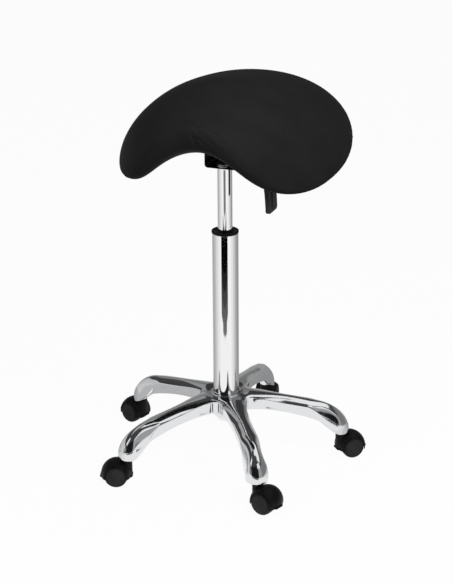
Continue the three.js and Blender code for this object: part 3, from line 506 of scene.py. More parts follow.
def makeStar():
    grid, hem = armSurface()
    columns = base["arcColumns"] + base["edgeColumns"]
    edgeHeight = grid[:, columns - 1, 2].copy()
    reach, halfWidth = grid[:, columns - 1, 0], grid[:, columns - 1, 1]
    for k in range(base["wallColumns"]):
        share = (k + 1) / base["wallColumns"]
        grid[:, columns + k, 0] = reach
        grid[:, columns + k, 1] = halfWidth - wallRecess(reach, halfWidth, share)
        grid[:, columns + k, 2] = mix(edgeHeight, hem, share)
    rowCount, columnCount = grid.shape[:2]
    deselectAll()
    bpy.ops.mesh.primitive_grid_add(x_subdivisions=rowCount - 1, y_subdivisions=columnCount - 1, size=1)
    star = named("starBase")
    for vertex in star.data.vertices:
        row = round((vertex.co.x + 0.5) * (rowCount - 1))
        column = round((vertex.co.y + 0.5) * (columnCount - 1))
        vertex.co = Vector(grid[row, column]) * mm
    # inside the valley the walls would stand between two arms, so they go
    edges = {tuple(np.round(grid[r, c], 4))
             for r in range(base["hubRows"]) for c in range(columns, columnCount)}
    edit(star)
    bpy.ops.object.mode_set(mode="OBJECT")
    for vertex in star.data.vertices:
        vertex.select = tuple(np.round(np.array(vertex.co) / mm, 4)) in edges
    bpy.ops.object.mode_set(mode="EDIT")
    bpy.ops.mesh.delete(type="VERT")
    bpy.ops.object.mode_set(mode="OBJECT")
    modify(star, "MIRROR", use_axis=(False, True, False), use_mirror_merge=True, merge_threshold=0.00002)
    edit(star)
    bpy.ops.mesh.select_all(action="SELECT")
    bpy.ops.mesh.spin(steps=4, dupli=True, angle=math.radians(288), center=(0, 0, 0), axis=(0, 0, 1))
    bpy.ops.mesh.select_all(action="SELECT")
    bpy.ops.mesh.remove_doubles(threshold=0.00003)
    bpy.ops.mesh.normals_make_consistent(inside=False)
    bpy.ops.object.mode_set(mode="OBJECT")
    top = max(star.data.polygons, key=lambda face: face.center.z)
    if top.normal.z < 0:
        edit(star)
        bpy.ops.mesh.select_all(action="SELECT")
        bpy.ops.mesh.flip_normals()
        bpy.ops.object.mode_set(mode="OBJECT")
    modify(star, "SOLIDIFY", thickness=base["wall"] * mm, offset=-1, use_quality_normals=True)
    roundEdges(star, 0.9, 2, 55)
    place(star, 90)
    return star


hub = {
    "ringRadius": 29.6, "wallBottom": 111.3, "bossRadius": 27, "bossLowRadius": 24.6, "bossBottom": 86.3,
    "bossRound": 4, "boreTop": 25.0, "boreLow": 21.9, "ribCount": 10, "ribThickness": 2.6, "ribFoot": 18,
    "ribReach": 30.5, "ribHeight": 19, "ribTop": 118, "socketRadius": 10.6, "socketBore": 5.9, "socketTop": 68,
}


def footOf(arm):
    # the middle of a caster's stem, in millimetres: the first arm points to the rear
    angle = math.radians(90 + 72 * arm)
    return base["stemCircle"] * math.cos(angle), base["stemCircle"] * math.sin(angle), 0


def makeHub():
    top, ring, bore = base["hubTop"], hub["ringRadius"], hub["boreTop"]
    boss, bottom = hub["bossLowRadius"], hub["bossBottom"]
    profile = [
        (bore, top - 0.4), (bore + 0.5, top), (ring - 1.4, top), (ring - 0.3, top - 0.5), (ring, top - 1.5),
        (ring + 0.5, top - 2.6), (ring, top - 9), (hub["bossRadius"], hub["wallBottom"]),
        (boss, bottom + hub["bossRound"]), (boss - 1.2, bottom + 1.2), (boss - 3.4, bottom),
        (hub["boreLow"], bottom), (bore, top - 0.4),
    ]
    body = turned("hubBody", profile, 80)
    low, foot, half = hub["wallBottom"] - hub["ribHeight"], hub["ribFoot"], hub["ribThickness"] / 2
    rib = block("hubRib", (foot, -half, low), (hub["ribReach"], half, hub["ribTop"]))
    selectFaces(rib, lambda centre, normal: normal.z < -0.5)
    bpy.ops.transform.resize(value=(0.78, 0.8, 1), center_override=Vector((foot, 0, low)) * mm)
    roundEdges(rib, 0.7, 2, 40)
    edit(rib)
    bpy.ops.mesh.select_all(action="SELECT")
    bpy.ops.transform.rotate(value=math.radians(18), orient_axis="Z", center_override=(0, 0, 0))
    allRibs = math.radians(360 * (1 - 1 / hub["ribCount"]))
    bpy.ops.mesh.spin(steps=hub["ribCount"] - 1, dupli=True, angle=allRibs, center=(0, 0, 0), axis=(0, 0, 1))
    bpy.ops.object.mode_set(mode="OBJECT")
    socket = turned("stemSocket", rounded([
        (hub["socketBore"], base["noseBottom"]), (hub["socketRadius"], base["noseBottom"]),
        (hub["socketRadius"] + 0.6, hub["socketTop"]), (hub["socketBore"], hub["socketTop"]),
        (hub["socketBore"], base["noseBottom"]),
    ], (1,), 0.8), 40)
    sockets = []
    for i in range(5):
        twin = copyOf(socket, f"stemSocket{i}")
        place(twin, 0, footOf(i))
        sockets.append(twin)
    bpy.data.objects.remove(socket)
    return join(body, rib, *sockets)


star = join(makeStar(), makeHub())
finished(star, "base", castAluminium, ["star_base"], 32, False)
print("star base:", len(star.data.polygons), "faces")

# ---- gas lift ----

lift = {
    "tubeRadius": 25, "tubeWall": 1.6, "tubeTop": 463.6, "tubeBottom": 78.3, "tubeEndRadius": 17.5,
    "hubTaper": 24.3, "bossTaper": 21.6, "collarRadius": 25.7, "collarBottom": 463.9, "collarTop": 468.1,
    "bushBottom": 365.6, "cylinderRadius": 14, "cylinderWall": 1.5, "cylinderBottom": 281.6,
    "coneStart": 584.6, "cylinderTop": 596.6, "coneTip": 13.2, "headBottom": 583.6, "pin": 3.3,
}


def makeTube():
    outer, inner = lift["tubeRadius"], lift["tubeRadius"] - lift["tubeWall"]
    top, hubTop = lift["tubeTop"], base["hubTop"]
    return turned("outerTube", rounded([
        (5.3, lift["tubeBottom"]), (lift["tubeEndRadius"], lift["tubeBottom"]),
        (lift["bossTaper"], hub["bossBottom"]), (lift["hubTaper"], hubTop - 4), (outer, hubTop + 0.6),
        (outer, top), (inner, top), (inner, hubTop), (lift["bossTaper"] - lift["tubeWall"], hub["bossBottom"]),
        (lift["tubeEndRadius"] - lift["tubeWall"], lift["tubeBottom"] + 3), (5.3, lift["tubeBottom"] + 3),
        (5.3, lift["tubeBottom"]),
    ], (1, 4, 5, 6), 0.8), 96)


def makeCollar():
    # the guide bush: its rim closes the tube, and a lip inside it wipes the cylinder
    inner, outer = lift["cylinderRadius"] + 0.15, lift["tubeRadius"] - lift["tubeWall"] - 0.3
    rim, top = lift["collarRadius"], lift["collarTop"]
    return turned("collar", rounded([
        (inner + 0.2, lift["bushBottom"]), (outer, lift["bushBottom"]), (outer, lift["collarBottom"]),
        (rim, lift["collarBottom"]), (rim, top), (rim - 3.2, top + 0.25), (18.2, top - 1.1),
        (16.4, top - 1.1), (15.6, top + 0.3), (inner, top + 0.3), (inner, top - 3),
        (inner + 0.2, lift["bushBottom"]),
    ], (3, 4, 5, 8, 9), 1.0), 96)


def makeCylinder():
    outer, bore = lift["cylinderRadius"], lift["cylinderRadius"] - lift["cylinderWall"]
    low, head = lift["cylinderBottom"], lift["headBottom"]
    return turned("liftCylinder", rounded([
        (bore - 1.5, low), (outer, low), (outer, lift["coneStart"]), (lift["coneTip"], lift["cylinderTop"]),
        (lift["pin"], lift["cylinderTop"]), (lift["pin"], head), (bore, head), (bore, low + 1.5),
        (bore - 1.5, low + 1.5), (bore - 1.5, low),
    ], (1, 3), 1.0), 72)


finished(makeTube(), "base", chrome, ["column_outer_tube"])
finished(makeCollar(), "base", blackNylon, ["column_guide_bush"])
finished(makeCylinder(), "carriage", chrome, ["lift_cylinder"])
print("gas lift made")

# ---- seat bracket, socket and lever ----

bracket = {
    "bottom": 591.2, "top": 628.3, "thickness": 2.5, "halfWidth": 33, "front": -18, "rear": 78, "tip": 59,
    "foldRadius": 4.75, "flangeFold": 2.2, "socketHole": 15.6, "windowHalf": 9.6, "windowLow": 602.3,
    "windowHigh": 611.5,
}


def makeBracket():
    half, t = bracket["halfWidth"] - bracket["thickness"] / 2, bracket["thickness"]
    low, high = bracket["bottom"] + t / 2, bracket["top"] - t / 2
    strap = strip("seatBracket", [
        (-bracket["tip"], high), (-half, high), (-half, low), (half, low), (half, high),
        (bracket["tip"], high),
    ], (bracket["front"], bracket["rear"]))
    for height, radius in ((low, bracket["foldRadius"]), (high, bracket["flangeFold"])):
        selectEdges(strap, lambda a, b: all(
            abs(abs(p.x) - half) < 0.1 and abs(p.z - height) < 0.1 for p in (a, b)))
        bpy.ops.mesh.bevel(offset=radius * mm, segments=5, affect="EDGES")
    mendNormals(strap)
    modify(strap, "SOLIDIFY", thickness=t * mm, offset=0, use_even_offset=True)
    cut(strap, rod("socketHole", bracket["socketHole"], low - 8, low + 8, 64))
    cut(strap, block("leverWindow", (half - 8, -bracket["windowHalf"], bracket["windowLow"]),
                     (half + 8, bracket["windowHalf"], bracket["windowHigh"])))
    roundEdges(strap, 0.5, 2, 50)
    return strap


def makeSocket():
    low, floor = bracket["bottom"], bracket["bottom"] + bracket["thickness"]
    return turned("taperSocket", rounded([
        (14.2, low), (15.3, low), (15.3, floor + 0.3), (17.2, floor + 0.3), (17.2, floor + 2.5),
        (15.3, floor + 2.9), (15.1, floor + 5), (13.7, floor + 5), (14.2, low),
    ], (4, 6), 0.6), 64)


lever = {
    "middle": 606.9, "inner": -6, "window": 33, "bend": 52.8, "thickness": 4, "width": 14, "tail": 16,
    "gripPoints": [(70, 598.9), (87, 590.4), (89.8, 564.9), (92, 514.9)], "gripThickness": 7.6,
    "gripWidth": 45, "ribHalf": 6, "ribRise": 1.8, "ribTop": 596, "ribFromTip": 7, "cornerRound": 7,
}


def bezier(points, t):
    rest = 1 - t
    weights = (rest ** 3, 3 * rest ** 2 * t, 3 * rest * t ** 2, t ** 3)
    return tuple(sum(w * p[k] for w, p in zip(weights, points)) for k in (0, 1))


def makeLeverArm():
    root, into = lever["gripPoints"][:2]
    start, knee = (lever["window"], lever["middle"]), (lever["bend"], lever["middle"])
    path = [(lever["inner"], lever["middle"])]
    for k in range(9):
        t = k / 8
        path.append(tuple((1 - t) ** 2 * a + 2 * t * (1 - t) * b + t * t * c
                          for a, b, c in zip(start, knee, root)))
    length = math.dist(root, into)
    path.append(tuple(r + (i - r) / length * lever["tail"] for r, i in zip(root, into)))
    arm = strip("leverArm", path, (-lever["width"] / 2, lever["width"] / 2))
    modify(arm, "SOLIDIFY", thickness=lever["thickness"] * mm, offset=0, use_even_offset=True)
    roundEdges(arm, 0.7, 2, 50)
    return arm


def makeLeverGrip():
    steps, half, rib = 22, lever["gripWidth"] / 2, lever["ribHalf"]
    path = [bezier(lever["gripPoints"], k / steps) for k in range(steps + 1)]
    grip = strip("leverGrip", path, (-half, -half * 0.66, -rib, rib, half * 0.66, half))
    modify(grip, "SOLIDIFY", thickness=lever["gripThickness"] * mm, offset=0, use_even_offset=True)
    tip = lever["gripPoints"][3][1]
    # the lower corners are rounded off across the paddle
    selectEdges(grip, lambda a, b: all(p.z < tip + 0.5 and abs(p.y) > half - 0.1 for p in (a, b)))
    bpy.ops.mesh.bevel(offset=lever["cornerRound"] * mm, segments=6, affect="EDGES")
    # a raised rib runs down the middle of both faces
    selectFaces(grip, lambda centre, normal: abs(centre.y) < rib - 0.1 and abs(normal.y) < 0.3
                and tip + lever["ribFromTip"] < centre.z < lever["ribTop"])
    bpy.ops.mesh.inset(thickness=1.2 * mm, depth=0)
    bpy.ops.transform.shrink_fatten(value=lever["ribRise"] * mm)
    bpy.ops.object.mode_set(mode="OBJECT")
    roundEdges(grip, 1.3, 3, 50)
    return grip


bolt = {
    "headLow": 621.9, "headTop": 625.5, "headRadius": 5.4, "radius": 3, "end": 637.4, "hex": 2.3, "hexDepth": 1.9,
    "places": [(-46, -10), (46, -10), (-46, 70), (46, 70)],
}


def makeBolt():
    low, top, wide, thin = bolt["headLow"], bolt["headTop"], bolt["headRadius"], bolt["radius"]
    head = turned("seatBolt", [
        (0, low), (3.4, low), (4.3, low + 0.5), (5.0, low + 1.4), (wide, low + 2.5), (wide, top), (thin, top),
        (thin, bolt["end"]), (0, bolt["end"]),
    ], 36)
    cut(head, rod("hexKey", bolt["hex"], low - 2, low + bolt["hexDepth"], 6))
    return head


finished(makeBracket(), "carriage", paintedSteel, ["seat_bracket"])
finished(makeSocket(), "carriage", zincSteel, ["taper_socket"])
finished(makeLeverArm(), "lever", paintedSteel, ["lever_arm"])
finished(makeLeverGrip(), "lever", gripPlastic, ["lever_grip"], 40)
oneBolt = makeBolt()
for i, (x, y) in enumerate(bolt["places"]):
    twin = copyOf(oneBolt, f"seatBolt{i + 1}")
    place(twin, 0, (x, y, 0))
    finished(twin, "carriage", zincSteel, [f"seat_bolt_{i + 1}"])
bpy.data.objects.remove(oneBolt)
print("bracket and lever made")

# ---- casters: modelled once with the swivel axis on Z and the wheels trailing along +X ----

caster = {
    "trail": 20.4, "axle": 22.2, "hoodRadius": 29.5, "ballHalfWidth": 33.7, "halfWidth": 22, "wall": 2.2,
    "skirt": 4.6, "web": 4.5, "neckRadius": 10.4, "neckTop": 54.1, "lipHalf": 12, "boreRadius": 3.3,
    "swivelRadius": 4.5, "pinRadius": 4.2, "pinLength": 10.8, "collarRadius": 8, "stemRadius": 5.5,
    "grooveRadius": 4.7,
    "wheelProfile": [
        (0, 18.9), (3.3, 18.9), (3.3, 4.8), (22.2, 4.8), (22.2, 15.4), (21.5, 18.6), (19.9, 21.0), (18.9, 21.7),
        (18.5, 20.9), (17.9, 20.9), (17.5, 21.9), (13, 22.7), (7, 23.3), (0, 23.6),
    ],
    "labels": ["rear", "left", "front_left", "front_right", "right"], "trails": [98, 160, 200, -18, 42],
}
hubOfWheel = (caster["trail"], 0, caster["axle"])
acrossY = (0, 1, 0)


def ballRadius(across):
    return caster["hoodRadius"] * math.sqrt(1 - (across / caster["ballHalfWidth"]) ** 2)


def wheelRoom(side):
    wall, half, web = caster["wall"], caster["halfWidth"], caster["web"]
    steps = [(ballRadius(a) - wall, side * a) for a in np.linspace(half, web + 1.5, 7)]
    inside = steps[-1][0]
    return turned("wheelRoom", [(0, side * (half + 4)), (steps[0][0], side * (half + 4)), *steps,
                                (inside - 1.5, side * web), (0, side * web)], 72, hubOfWheel, acrossY)


def makeHood():
    half, low = caster["halfWidth"], caster["axle"] - caster["skirt"]
    edge = ballRadius(half)
    around = [(ballRadius(a), a) for a in np.linspace(half - 0.6, 0.6 - half, 15)]
    hood = turned("casterHood", [(0, half), (edge - 1.0, half), *around, (edge - 1.0, -half), (0, -half)], 80,
                  hubOfWheel, acrossY)
    edit(hood)
    bpy.ops.mesh.select_all(action="SELECT")
    bpy.ops.mesh.bisect(plane_co=(0, 0, low * mm), plane_no=(0, 0, 1), clear_inner=True, use_fill=True)
    bpy.ops.object.mode_set(mode="OBJECT")
    cut(hood, turned("neck", rounded([
        (0, low), (caster["neckRadius"] - 0.6, low), (caster["neckRadius"], low + 6),
        (caster["neckRadius"], caster["neckTop"]), (0, caster["neckTop"]),
    ], (1, 3), 0.9), 56), "UNION")
    for side in (-1, 1):
        inner, outer = caster["hoodRadius"] - 3.2, caster["hoodRadius"] + 1.8
        ends = sorted(caster["trail"] + side * reach for reach in (inner, outer))
        lip = block("lip", (ends[0], -caster["lipHalf"], low), (ends[1], caster["lipHalf"], low + 2.6))
        selectFaces(lip, lambda centre, normal: side * normal.x > 0.5)
        bpy.ops.transform.resize(value=(1, 0.72, 1), center_override=Vector((ends[1], 0, low)) * mm)
        roundEdges(lip, 0.8, 3, 30)
        cut(hood, lip, "UNION")
    for side in (1, -1):
        cut(hood, wheelRoom(side))
    bore, top = caster["boreRadius"], caster["neckTop"]
    cut(hood, turned("axleBore", [(0, -30), (bore, -30), (bore, 30), (0, 30)], 24, hubOfWheel, acrossY))
    cut(hood, rod("swivelBore", caster["swivelRadius"], top - caster["pinLength"], top + 3, 32))
    return hood


def makeWheel(side):
    profile = rounded(caster["wheelProfile"], (3, 4, 5, 6), 1.2)
    return turned("wheel", [(radius, side * across) for radius, across in profile], 72, hubOfWheel, acrossY)


def makeStem():
    top, low = caster["neckTop"] + 0.3, caster["neckTop"] + 0.3 - caster["pinLength"]
    pin, flange = caster["pinRadius"], caster["collarRadius"]
    stem, groove = caster["stemRadius"], caster["grooveRadius"]
    return turned("casterStem", [
        (0, low), (pin, low), (pin, top), (7.6, top), (flange, top + 0.3), (flange, top + 0.9),
        (stem, top + 0.9), (stem, top + 15.5), (groove, top + 15.5), (groove, top + 17.9),
        (stem, top + 17.9), (stem, top + 21.1), (groove, top + 21.9), (0, top + 21.9),
    ], 40)


casterParts = [
    ("hood", makeHood(), "caster_{}", "nylon", blackNylon), ("stem", makeStem(), "base", "steel", zincSteel),
    ("wheel_a", makeWheel(1), "caster_{}_wheel_a", "nylon", wheelNylon),
    ("wheel_b", makeWheel(-1), "caster_{}_wheel_b", "nylon", wheelNylon),
]
for i, (label, trail) in enumerate(zip(caster["labels"], caster["trails"])):
    for part, shape, body, slotName, material in casterParts:
        twin = copyOf(shape, f"caster_{label}_{part}_look")
        place(twin, trail, footOf(i))
        finished(twin, body.format(label), material, [f"caster_{label}_{part}"])
for part in casterParts:
    bpy.data.objects.remove(part[1])
print("casters made")

# ---- seat: the same saddle as the CAD's, a pillow bent over an arch that is tight at the front ----

seat = {
    "halfWidth": 242.3, "frontLength": 167.4, "rearLength": 236.5, "setBack": -1.6, "frontBend": 94,
    "rearBend": 437.4, "bendPower": 1.05, "frontLift": 2.9, "rearLift": 22.6, "crown": 57.2, "belly": 56.8,
    "frontPower": 2.40, "rearPower": 2.335, "crownPower": 1.376, "bellyPower": 2.87, "widening": 0.0646,
    "crownFall": -0.061, "crownBulge": -0.047, "crossCrown": -0.051, "middle": 697.2, "spin": 1.27,
    "pitch": 0.36, "startInset": 2.6, "voxel": 5, "pressure": 4, "frames": 20, "mostMove": 3.0,
    "settle": 0.95, "settleInset": -0.4, "hem": 0.70, "hemBlend": 0.035, "hemDepth": 5,
}


def dome(share, power):
    return np.clip(1 - share ** power, 0, 1) ** (1 / power)


def seatPoints(share, angle, side, inset):
    # share runs from the middle to the rim, angle round it, and side is 1 on top and -1 below
    sine, cosine = np.sin(angle), np.cos(angle)
    power = np.where(sine > 0, seat["rearPower"], seat["frontPower"])
    rim = (np.abs(cosine) ** power + np.abs(sine) ** power) ** (-1 / power)
    along, across = share * rim * sine, share * rim * cosine
    length = np.where(along > 0, seat["rearLength"], seat["frontLength"])
    halfWidth = seat["halfWidth"] * (1 + seat["widening"] * rim * sine) - inset
    bend = mix(seat["frontBend"], seat["rearBend"], ((1 + along) / 2) ** seat["bendPower"])
    turn = across * halfWidth / bend
    lift = np.where(along > 0, seat["rearLift"], seat["frontLift"]) * along
    shape = 1 + seat["crownFall"] * along + seat["crownBulge"] * (along ** 2 - 0.3)
    shape += seat["crossCrown"] * (across ** 2 - 0.3)
    crown = (seat["crown"] - inset) * shape * dome(share, seat["crownPower"])
    offset = np.where(side > 0, crown, -(seat["belly"] - inset) * dome(share, seat["bellyPower"]))
    height = bend * (np.cos(turn) - 1) + lift * along
    middle = np.stack([bend * np.sin(turn), along * (length - inset), height], -1)
    normal = np.stack([np.sin(turn), -2 * lift / length, np.cos(turn)], -1)
    normal /= np.linalg.norm(normal, axis=-1, keepdims=True)
    places = middle + normal * offset[..., None] + np.array([0, seat["setBack"], 0])
    spin, pitch = math.radians(seat["spin"]), math.radians(seat["pitch"])
    tilt = Matrix.Rotation(spin, 3, "Z") @ Matrix.Rotation(pitch, 3, "X")
    return places @ np.array(tilt).T + np.array([0, 0, seat["middle"]])


def coordinates(piece):
    places = np.empty(len(piece.data.vertices) * 3)
    piece.data.vertices.foreach_get("co", places)
    return places.reshape(-1, 3)


def moveTo(piece, places):
    piece.data.vertices.foreach_set("co", np.asarray(places, float).ravel())
    piece.data.update()


def sphereShares(piece):
    ball = coordinates(piece)
    share = np.clip(np.hypot(ball[:, 0], ball[:, 1]), 0, 1)
    return share, np.arctan2(ball[:, 1], ball[:, 0]), np.where(ball[:, 2] >= 0, 1, -1)


def makeSeatForm(name, segments, rings, inset):
    deselectAll()
    bpy.ops.mesh.primitive_uv_sphere_add(segments=segments, ring_count=rings, radius=1)
    form = named(name)
    share, angle, side = sphereShares(form)
    moveTo(form, seatPoints(share, angle, side, inset) * mm)
    return form, share, side


def puffUp(cushion):
    # the foam blows the cover out a little, as cloth under pressure, and no point moves more than mostMove
    start = coordinates(cushion)
    cloth = cushion.modifiers.new("cloth", "CLOTH")
    cloth.settings.quality = 5
    cloth.settings.mass = 0.3
    cloth.settings.tension_stiffness = cloth.settings.compression_stiffness = 15
    cloth.settings.shear_stiffness = 5
    cloth.settings.bending_stiffness = 0.6
    cloth.settings.use_pressure = True
    cloth.settings.uniform_pressure_force = seat["pressure"]
    cloth.settings.effector_weights.gravity = 0
    cloth.point_cache.frame_start, cloth.point_cache.frame_end = 1, seat["frames"]
    for number in range(1, seat["frames"] + 1):
        bpy.context.scene.frame_set(number)
    pick(cushion)
    bpy.ops.object.modifier_apply(modifier=cloth.name)
    moved = coordinates(cushion) - start
    far = np.linalg.norm(moved, axis=1, keepdims=True)
    limit = seat["mostMove"] * mm
    moveTo(cushion, start + moved * np.minimum(1, limit / np.maximum(far, 1e-9)))
    print("cushion puffed: mean move", round(float(far.mean()) / mm, 2), "mm, most",
          round(float(far.max()) / mm, 2))


def makeCushion():
    inset = seat["startInset"]
    cushion, share, side = makeSeatForm("saddleCushion", 128, 96, inset)
    guide = coordinates(cushion)
    modify(cushion, "REMESH", mode="VOXEL", voxel_size=seat["voxel"] * mm)
    puffUp(cushion)
    modify(cushion, "SMOOTH", factor=0.5, iterations=4)
    modify(cushion, "SUBSURF", levels=1, render_levels=1)
    tree = kdtree.KDTree(len(guide))
    for i, point in enumerate(guide):
        tree.insert(point, i)
    tree.balance()
    nearest = [tree.find(point)[1] for point in coordinates(cushion)]
    settle(cushion)
    return cushion, share[nearest], side[nearest]


def settle(cushion):
    # smoothing draws the tight rims in, so the cover is brought nearly all the way back to the saddle's form
    form = makeSeatForm("saddleForm", 256, 192, seat["settleInset"])[0]
    surface = BVHTree.FromObject(form, bpy.context.evaluated_depsgraph_get())
    places = coordinates(cushion)
    targets = np.array([surface.find_nearest(point)[0] for point in places])
    moveTo(cushion, mix(places, targets, seat["settle"]))
    bpy.data.objects.remove(form)


def tuckHem(cushion, share, side):
    # below, the cover is pulled over the pan's edge and ends there: inside the hem it steps up into the pan
    rise = np.clip((seat["hem"] - share) / seat["hemBlend"], 0, 1)
    rise = np.where(side < 0, eased(rise), 0)
    normals = np.array([vertex.normal for vertex in cushion.data.vertices])
    moveTo(cushion, coordinates(cushion) - normals * (rise * seat["hemDepth"] * mm)[:, None])


# folds pressed into the cover at the front: [depth, half width, points on the surface], all in mm
folds = [
    [2.4, 2.6, (4.3, -169.0, 697.5), (7.3, -168.9, 690.8), (9.4, -168.0, 683.9), (12.8, -166.5, 679.1),
     (15.9, -161.6, 670.1), (17.7, -158.4, 666.4)],
    [1.3, 3.0, (-30.1, -152.5, 707.6), (-18.3, -153.8, 709.6), (-8.8, -153.9, 710.8), (2.1, -156.9, 709.5),
     (18.7, -159.6, 706.3), (34.3, -160.3, 701.9), (46.9, -161.3, 695.5), (61.6, -163.0, 682.7),
     (72.9, -160.5, 674.3), (83.1, -158.3, 662.8), (91.9, -154.4, 646.8), (101.2, -149.6, 636.5),
     (112.6, -141.6, 630.6)],
    [1.3, 2.8, (4.4, -159.1, 708.1), (11.8, -163.2, 704.6), (19.8, -167.9, 698.6), (27.0, -168.1, 692.4),
     (38.8, -167.0, 683.5), (46.2, -165.5, 675.0), (48.8, -164.3, 670.0)],
    [1.2, 2.8, (11.0, -168.8, 695.2), (13.8, -168.6, 688.5), (22.7, -167.9, 684.2), (36.1, -165.6, 675.0),
     (47.5, -163.7, 668.1)],
    [0.8, 2.8, (-11.5, -156.7, 708.8), (-9.1, -162.5, 705.1), (-6.7, -168.5, 699.7)],
]
foldShape = {"fadeLength": 9, "leastFade": 0.15, "ridgeShare": 0.4, "ridgePlace": 2.2, "front": -110, "low": 600}


def pressFolds(cushion):
    # each fold is a groove with a low ridge beside it, and fades out at its ends
    places = coordinates(cushion) / mm
    normals = np.array([vertex.normal for vertex in cushion.data.vertices])
    near = np.flatnonzero((places[:, 1] < foldShape["front"]) & (places[:, 2] > foldShape["low"]))
    push = np.zeros(len(near))
    for depth, width, *points in folds:
        line = np.array(points)
        lengths = np.linalg.norm(np.diff(line, axis=0), axis=1)
        along = np.concatenate([[0], np.cumsum(lengths)])
        best, where = np.full(len(near), 1e9), np.zeros(len(near))
        for k, length in enumerate(lengths):
            step = (line[k + 1] - line[k]) / length
            share = np.clip((places[near] - line[k]) @ step, 0, length)
            gap = np.linalg.norm(places[near] - line[k] - share[:, None] * step, axis=1)
            closer = gap < best
            best, where = np.where(closer, gap, best), np.where(closer, along[k] + share, where)
        toEnd = np.minimum(where, along[-1] - where)
        fade = np.clip(toEnd / foldShape["fadeLength"], foldShape["leastFade"], 1)
        ridge = np.exp(-((best - foldShape["ridgePlace"] * width) / width) ** 2)
        push += depth * fade * (np.exp(-(best / width) ** 2) - foldShape["ridgeShare"] * ridge)
    places[near] -= normals[near] * push[:, None]
    moveTo(cushion, places * mm)


cushion, cushionShare, cushionSide = makeCushion()
tuckHem(cushion, cushionShare, cushionSide)
pressFolds(cushion)
finished(cushion, "carriage", leatherette, ["seat_cover", "seat_foam"], 75, False)
print("cushion:", len(cushion.data.polygons), "faces")

pan = {
    "edge": 0.84, "inset": 2.3, "thickness": 10, "padHalfWidth": 59.3, "padFront": -24, "padRear": 84,
    "padBottom": 628.6, "padHeight": 22, "padCorner": 6,
}


def makePan():
    deselectAll()
    bpy.ops.mesh.primitive_uv_sphere_add(segments=96, ring_count=40, radius=1)
    plate = named("seatPan")
    share, angle, side = sphereShares(plate)
    depth = pan["inset"] + pan["thickness"] / 2 * (1 + side * np.clip((1 - share) / 0.02, 0, 1) ** 0.5)
    low = np.full_like(side, -1)
    places = seatPoints(share * pan["edge"], angle, low, pan["inset"])
    deeper = seatPoints(share * pan["edge"], angle, low, pan["inset"] + pan["thickness"])
    part = ((depth - pan["inset"]) / pan["thickness"])[:, None]
    moveTo(plate, (places * (1 - part) + deeper * part) * mm)
    width, bottom = pan["padHalfWidth"], pan["padBottom"]
    pad = block("panPad", (-width, pan["padFront"], bottom), (width, pan["padRear"], bottom + pan["padHeight"]))
    selectEdges(pad, lambda a, b: abs(a.z - b.z) > 5)
    bpy.ops.mesh.bevel(offset=pan["padCorner"] * mm, segments=5, affect="EDGES")
    bpy.ops.object.mode_set(mode="OBJECT")
    roundEdges(pad, 1.2, 2, 60)
    return join(plate, pad)


finished(makePan(), "carriage", stainedPly, ["seat_pan"])
print("pan made")

# ---- what stays as the CAD has it, out of sight: it only takes a real finish ----

inside = {
    zincSteel: ["column_thrust_bearing", "lift_piston_rod", "lift_retaining_clip", "lift_valve_body",
                "lift_release_pin"] + [f"seat_insert_{i}" for i in (1, 2, 3, 4)]
               + [f"caster_{label}_axle" for label in caster["labels"]],
    rubber: ["column_buffer"], blackNylon: ["lift_rod_guide", "lift_piston"],
}
for material, nodeNames in inside.items():
    for nodeName in nodeNames:
        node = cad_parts[nodeName]
        node.data.materials.clear()
        node.data.materials.append(material)

# ---- camera, floor and light ----

view = {
    "turn": 21.4, "distance": 2.5604, "height": 1.33196, "pitch": 0.368374, "yaw": -0.0089272,
    "roll": -0.0100613, "lens": 88.82, "shift": 0.02134,
}
studio = {"worldLight": 0.18, "paper": "#b0b0b0", "paperGlow": 1.03, "glowShare": 0.93}
viewTurn = Matrix.Rotation(math.radians(view["turn"]), 3, "Z")  # from the camera's directions to the stool's


def makeCamera():
    data = bpy.data.cameras.new("camera")
    camera = bpy.data.objects.new("camera", data)
    bpy.context.scene.collection.objects.link(camera)
    p, y, r = view["pitch"], view["yaw"], view["roll"]
    ahead = Vector((math.sin(y) * math.cos(p), math.cos(y) * math.cos(p), -math.sin(p)))
    right = Vector((math.cos(y), -math.sin(y), 0))
    up = right.cross(ahead)
    right, up = right * math.cos(r) + up * math.sin(r), up * math.cos(r) - right * math.sin(r)
    axes = Matrix((right, up, -ahead)).transposed().to_4x4()
    camera.matrix_world = viewTurn.to_4x4() @ Matrix.Translation((0, -view["distance"], view["height"])) @ axes
    data.lens, data.shift_x = view["lens"], view["shift"]
    bpy.context.scene.camera = camera


def lamp(name, place, target, size, power):
    data = bpy.data.lights.new(name, "AREA")
    data.shape, data.size, data.size_y, data.energy = "RECTANGLE", size[0], size[1], power
    light = bpy.data.objects.new(name, data)
    light.location = place
    light.rotation_euler = (Vector(target) - Vector(place)).to_track_quat("-Z", "Y").to_euler()
    light.visible_glossy = False
    bpy.context.scene.collection.objects.link(light)
    return light


def rayMix(tree):
    # 1 for what the camera, metal and glass see, and 0 for the light that falls on the object
    path = addNode(tree, "ShaderNodeLightPath")
    first = addNode(tree, "ShaderNodeMath", {"operation": "MAXIMUM"},
                    {0: (path, "Is Camera Ray"), 1: (path, "Is Glossy Ray")})
    return addNode(tree, "ShaderNodeMath", {"operation": "MAXIMUM"},
                   {0: (first, "Value"), 1: (path, "Is Transmission Ray")})


def makeWorld():
    world = bpy.data.worlds.new("studio")
    bpy.context.scene.world = world
    world.use_nodes = True
    tree = world.node_tree
    tree.nodes.clear()
    strength = addNode(tree, "ShaderNodeMapRange", {"To Min": studio["worldLight"], "To Max": 1.0},
                       {"Value": (rayMix(tree), "Value")})
    light = addNode(tree, "ShaderNodeBackground", {"Color": (1, 1, 1, 1)}, {"Strength": (strength, "Result")})
    addNode(tree, "ShaderNodeOutputWorld", links={"Surface": (light, "Background")})


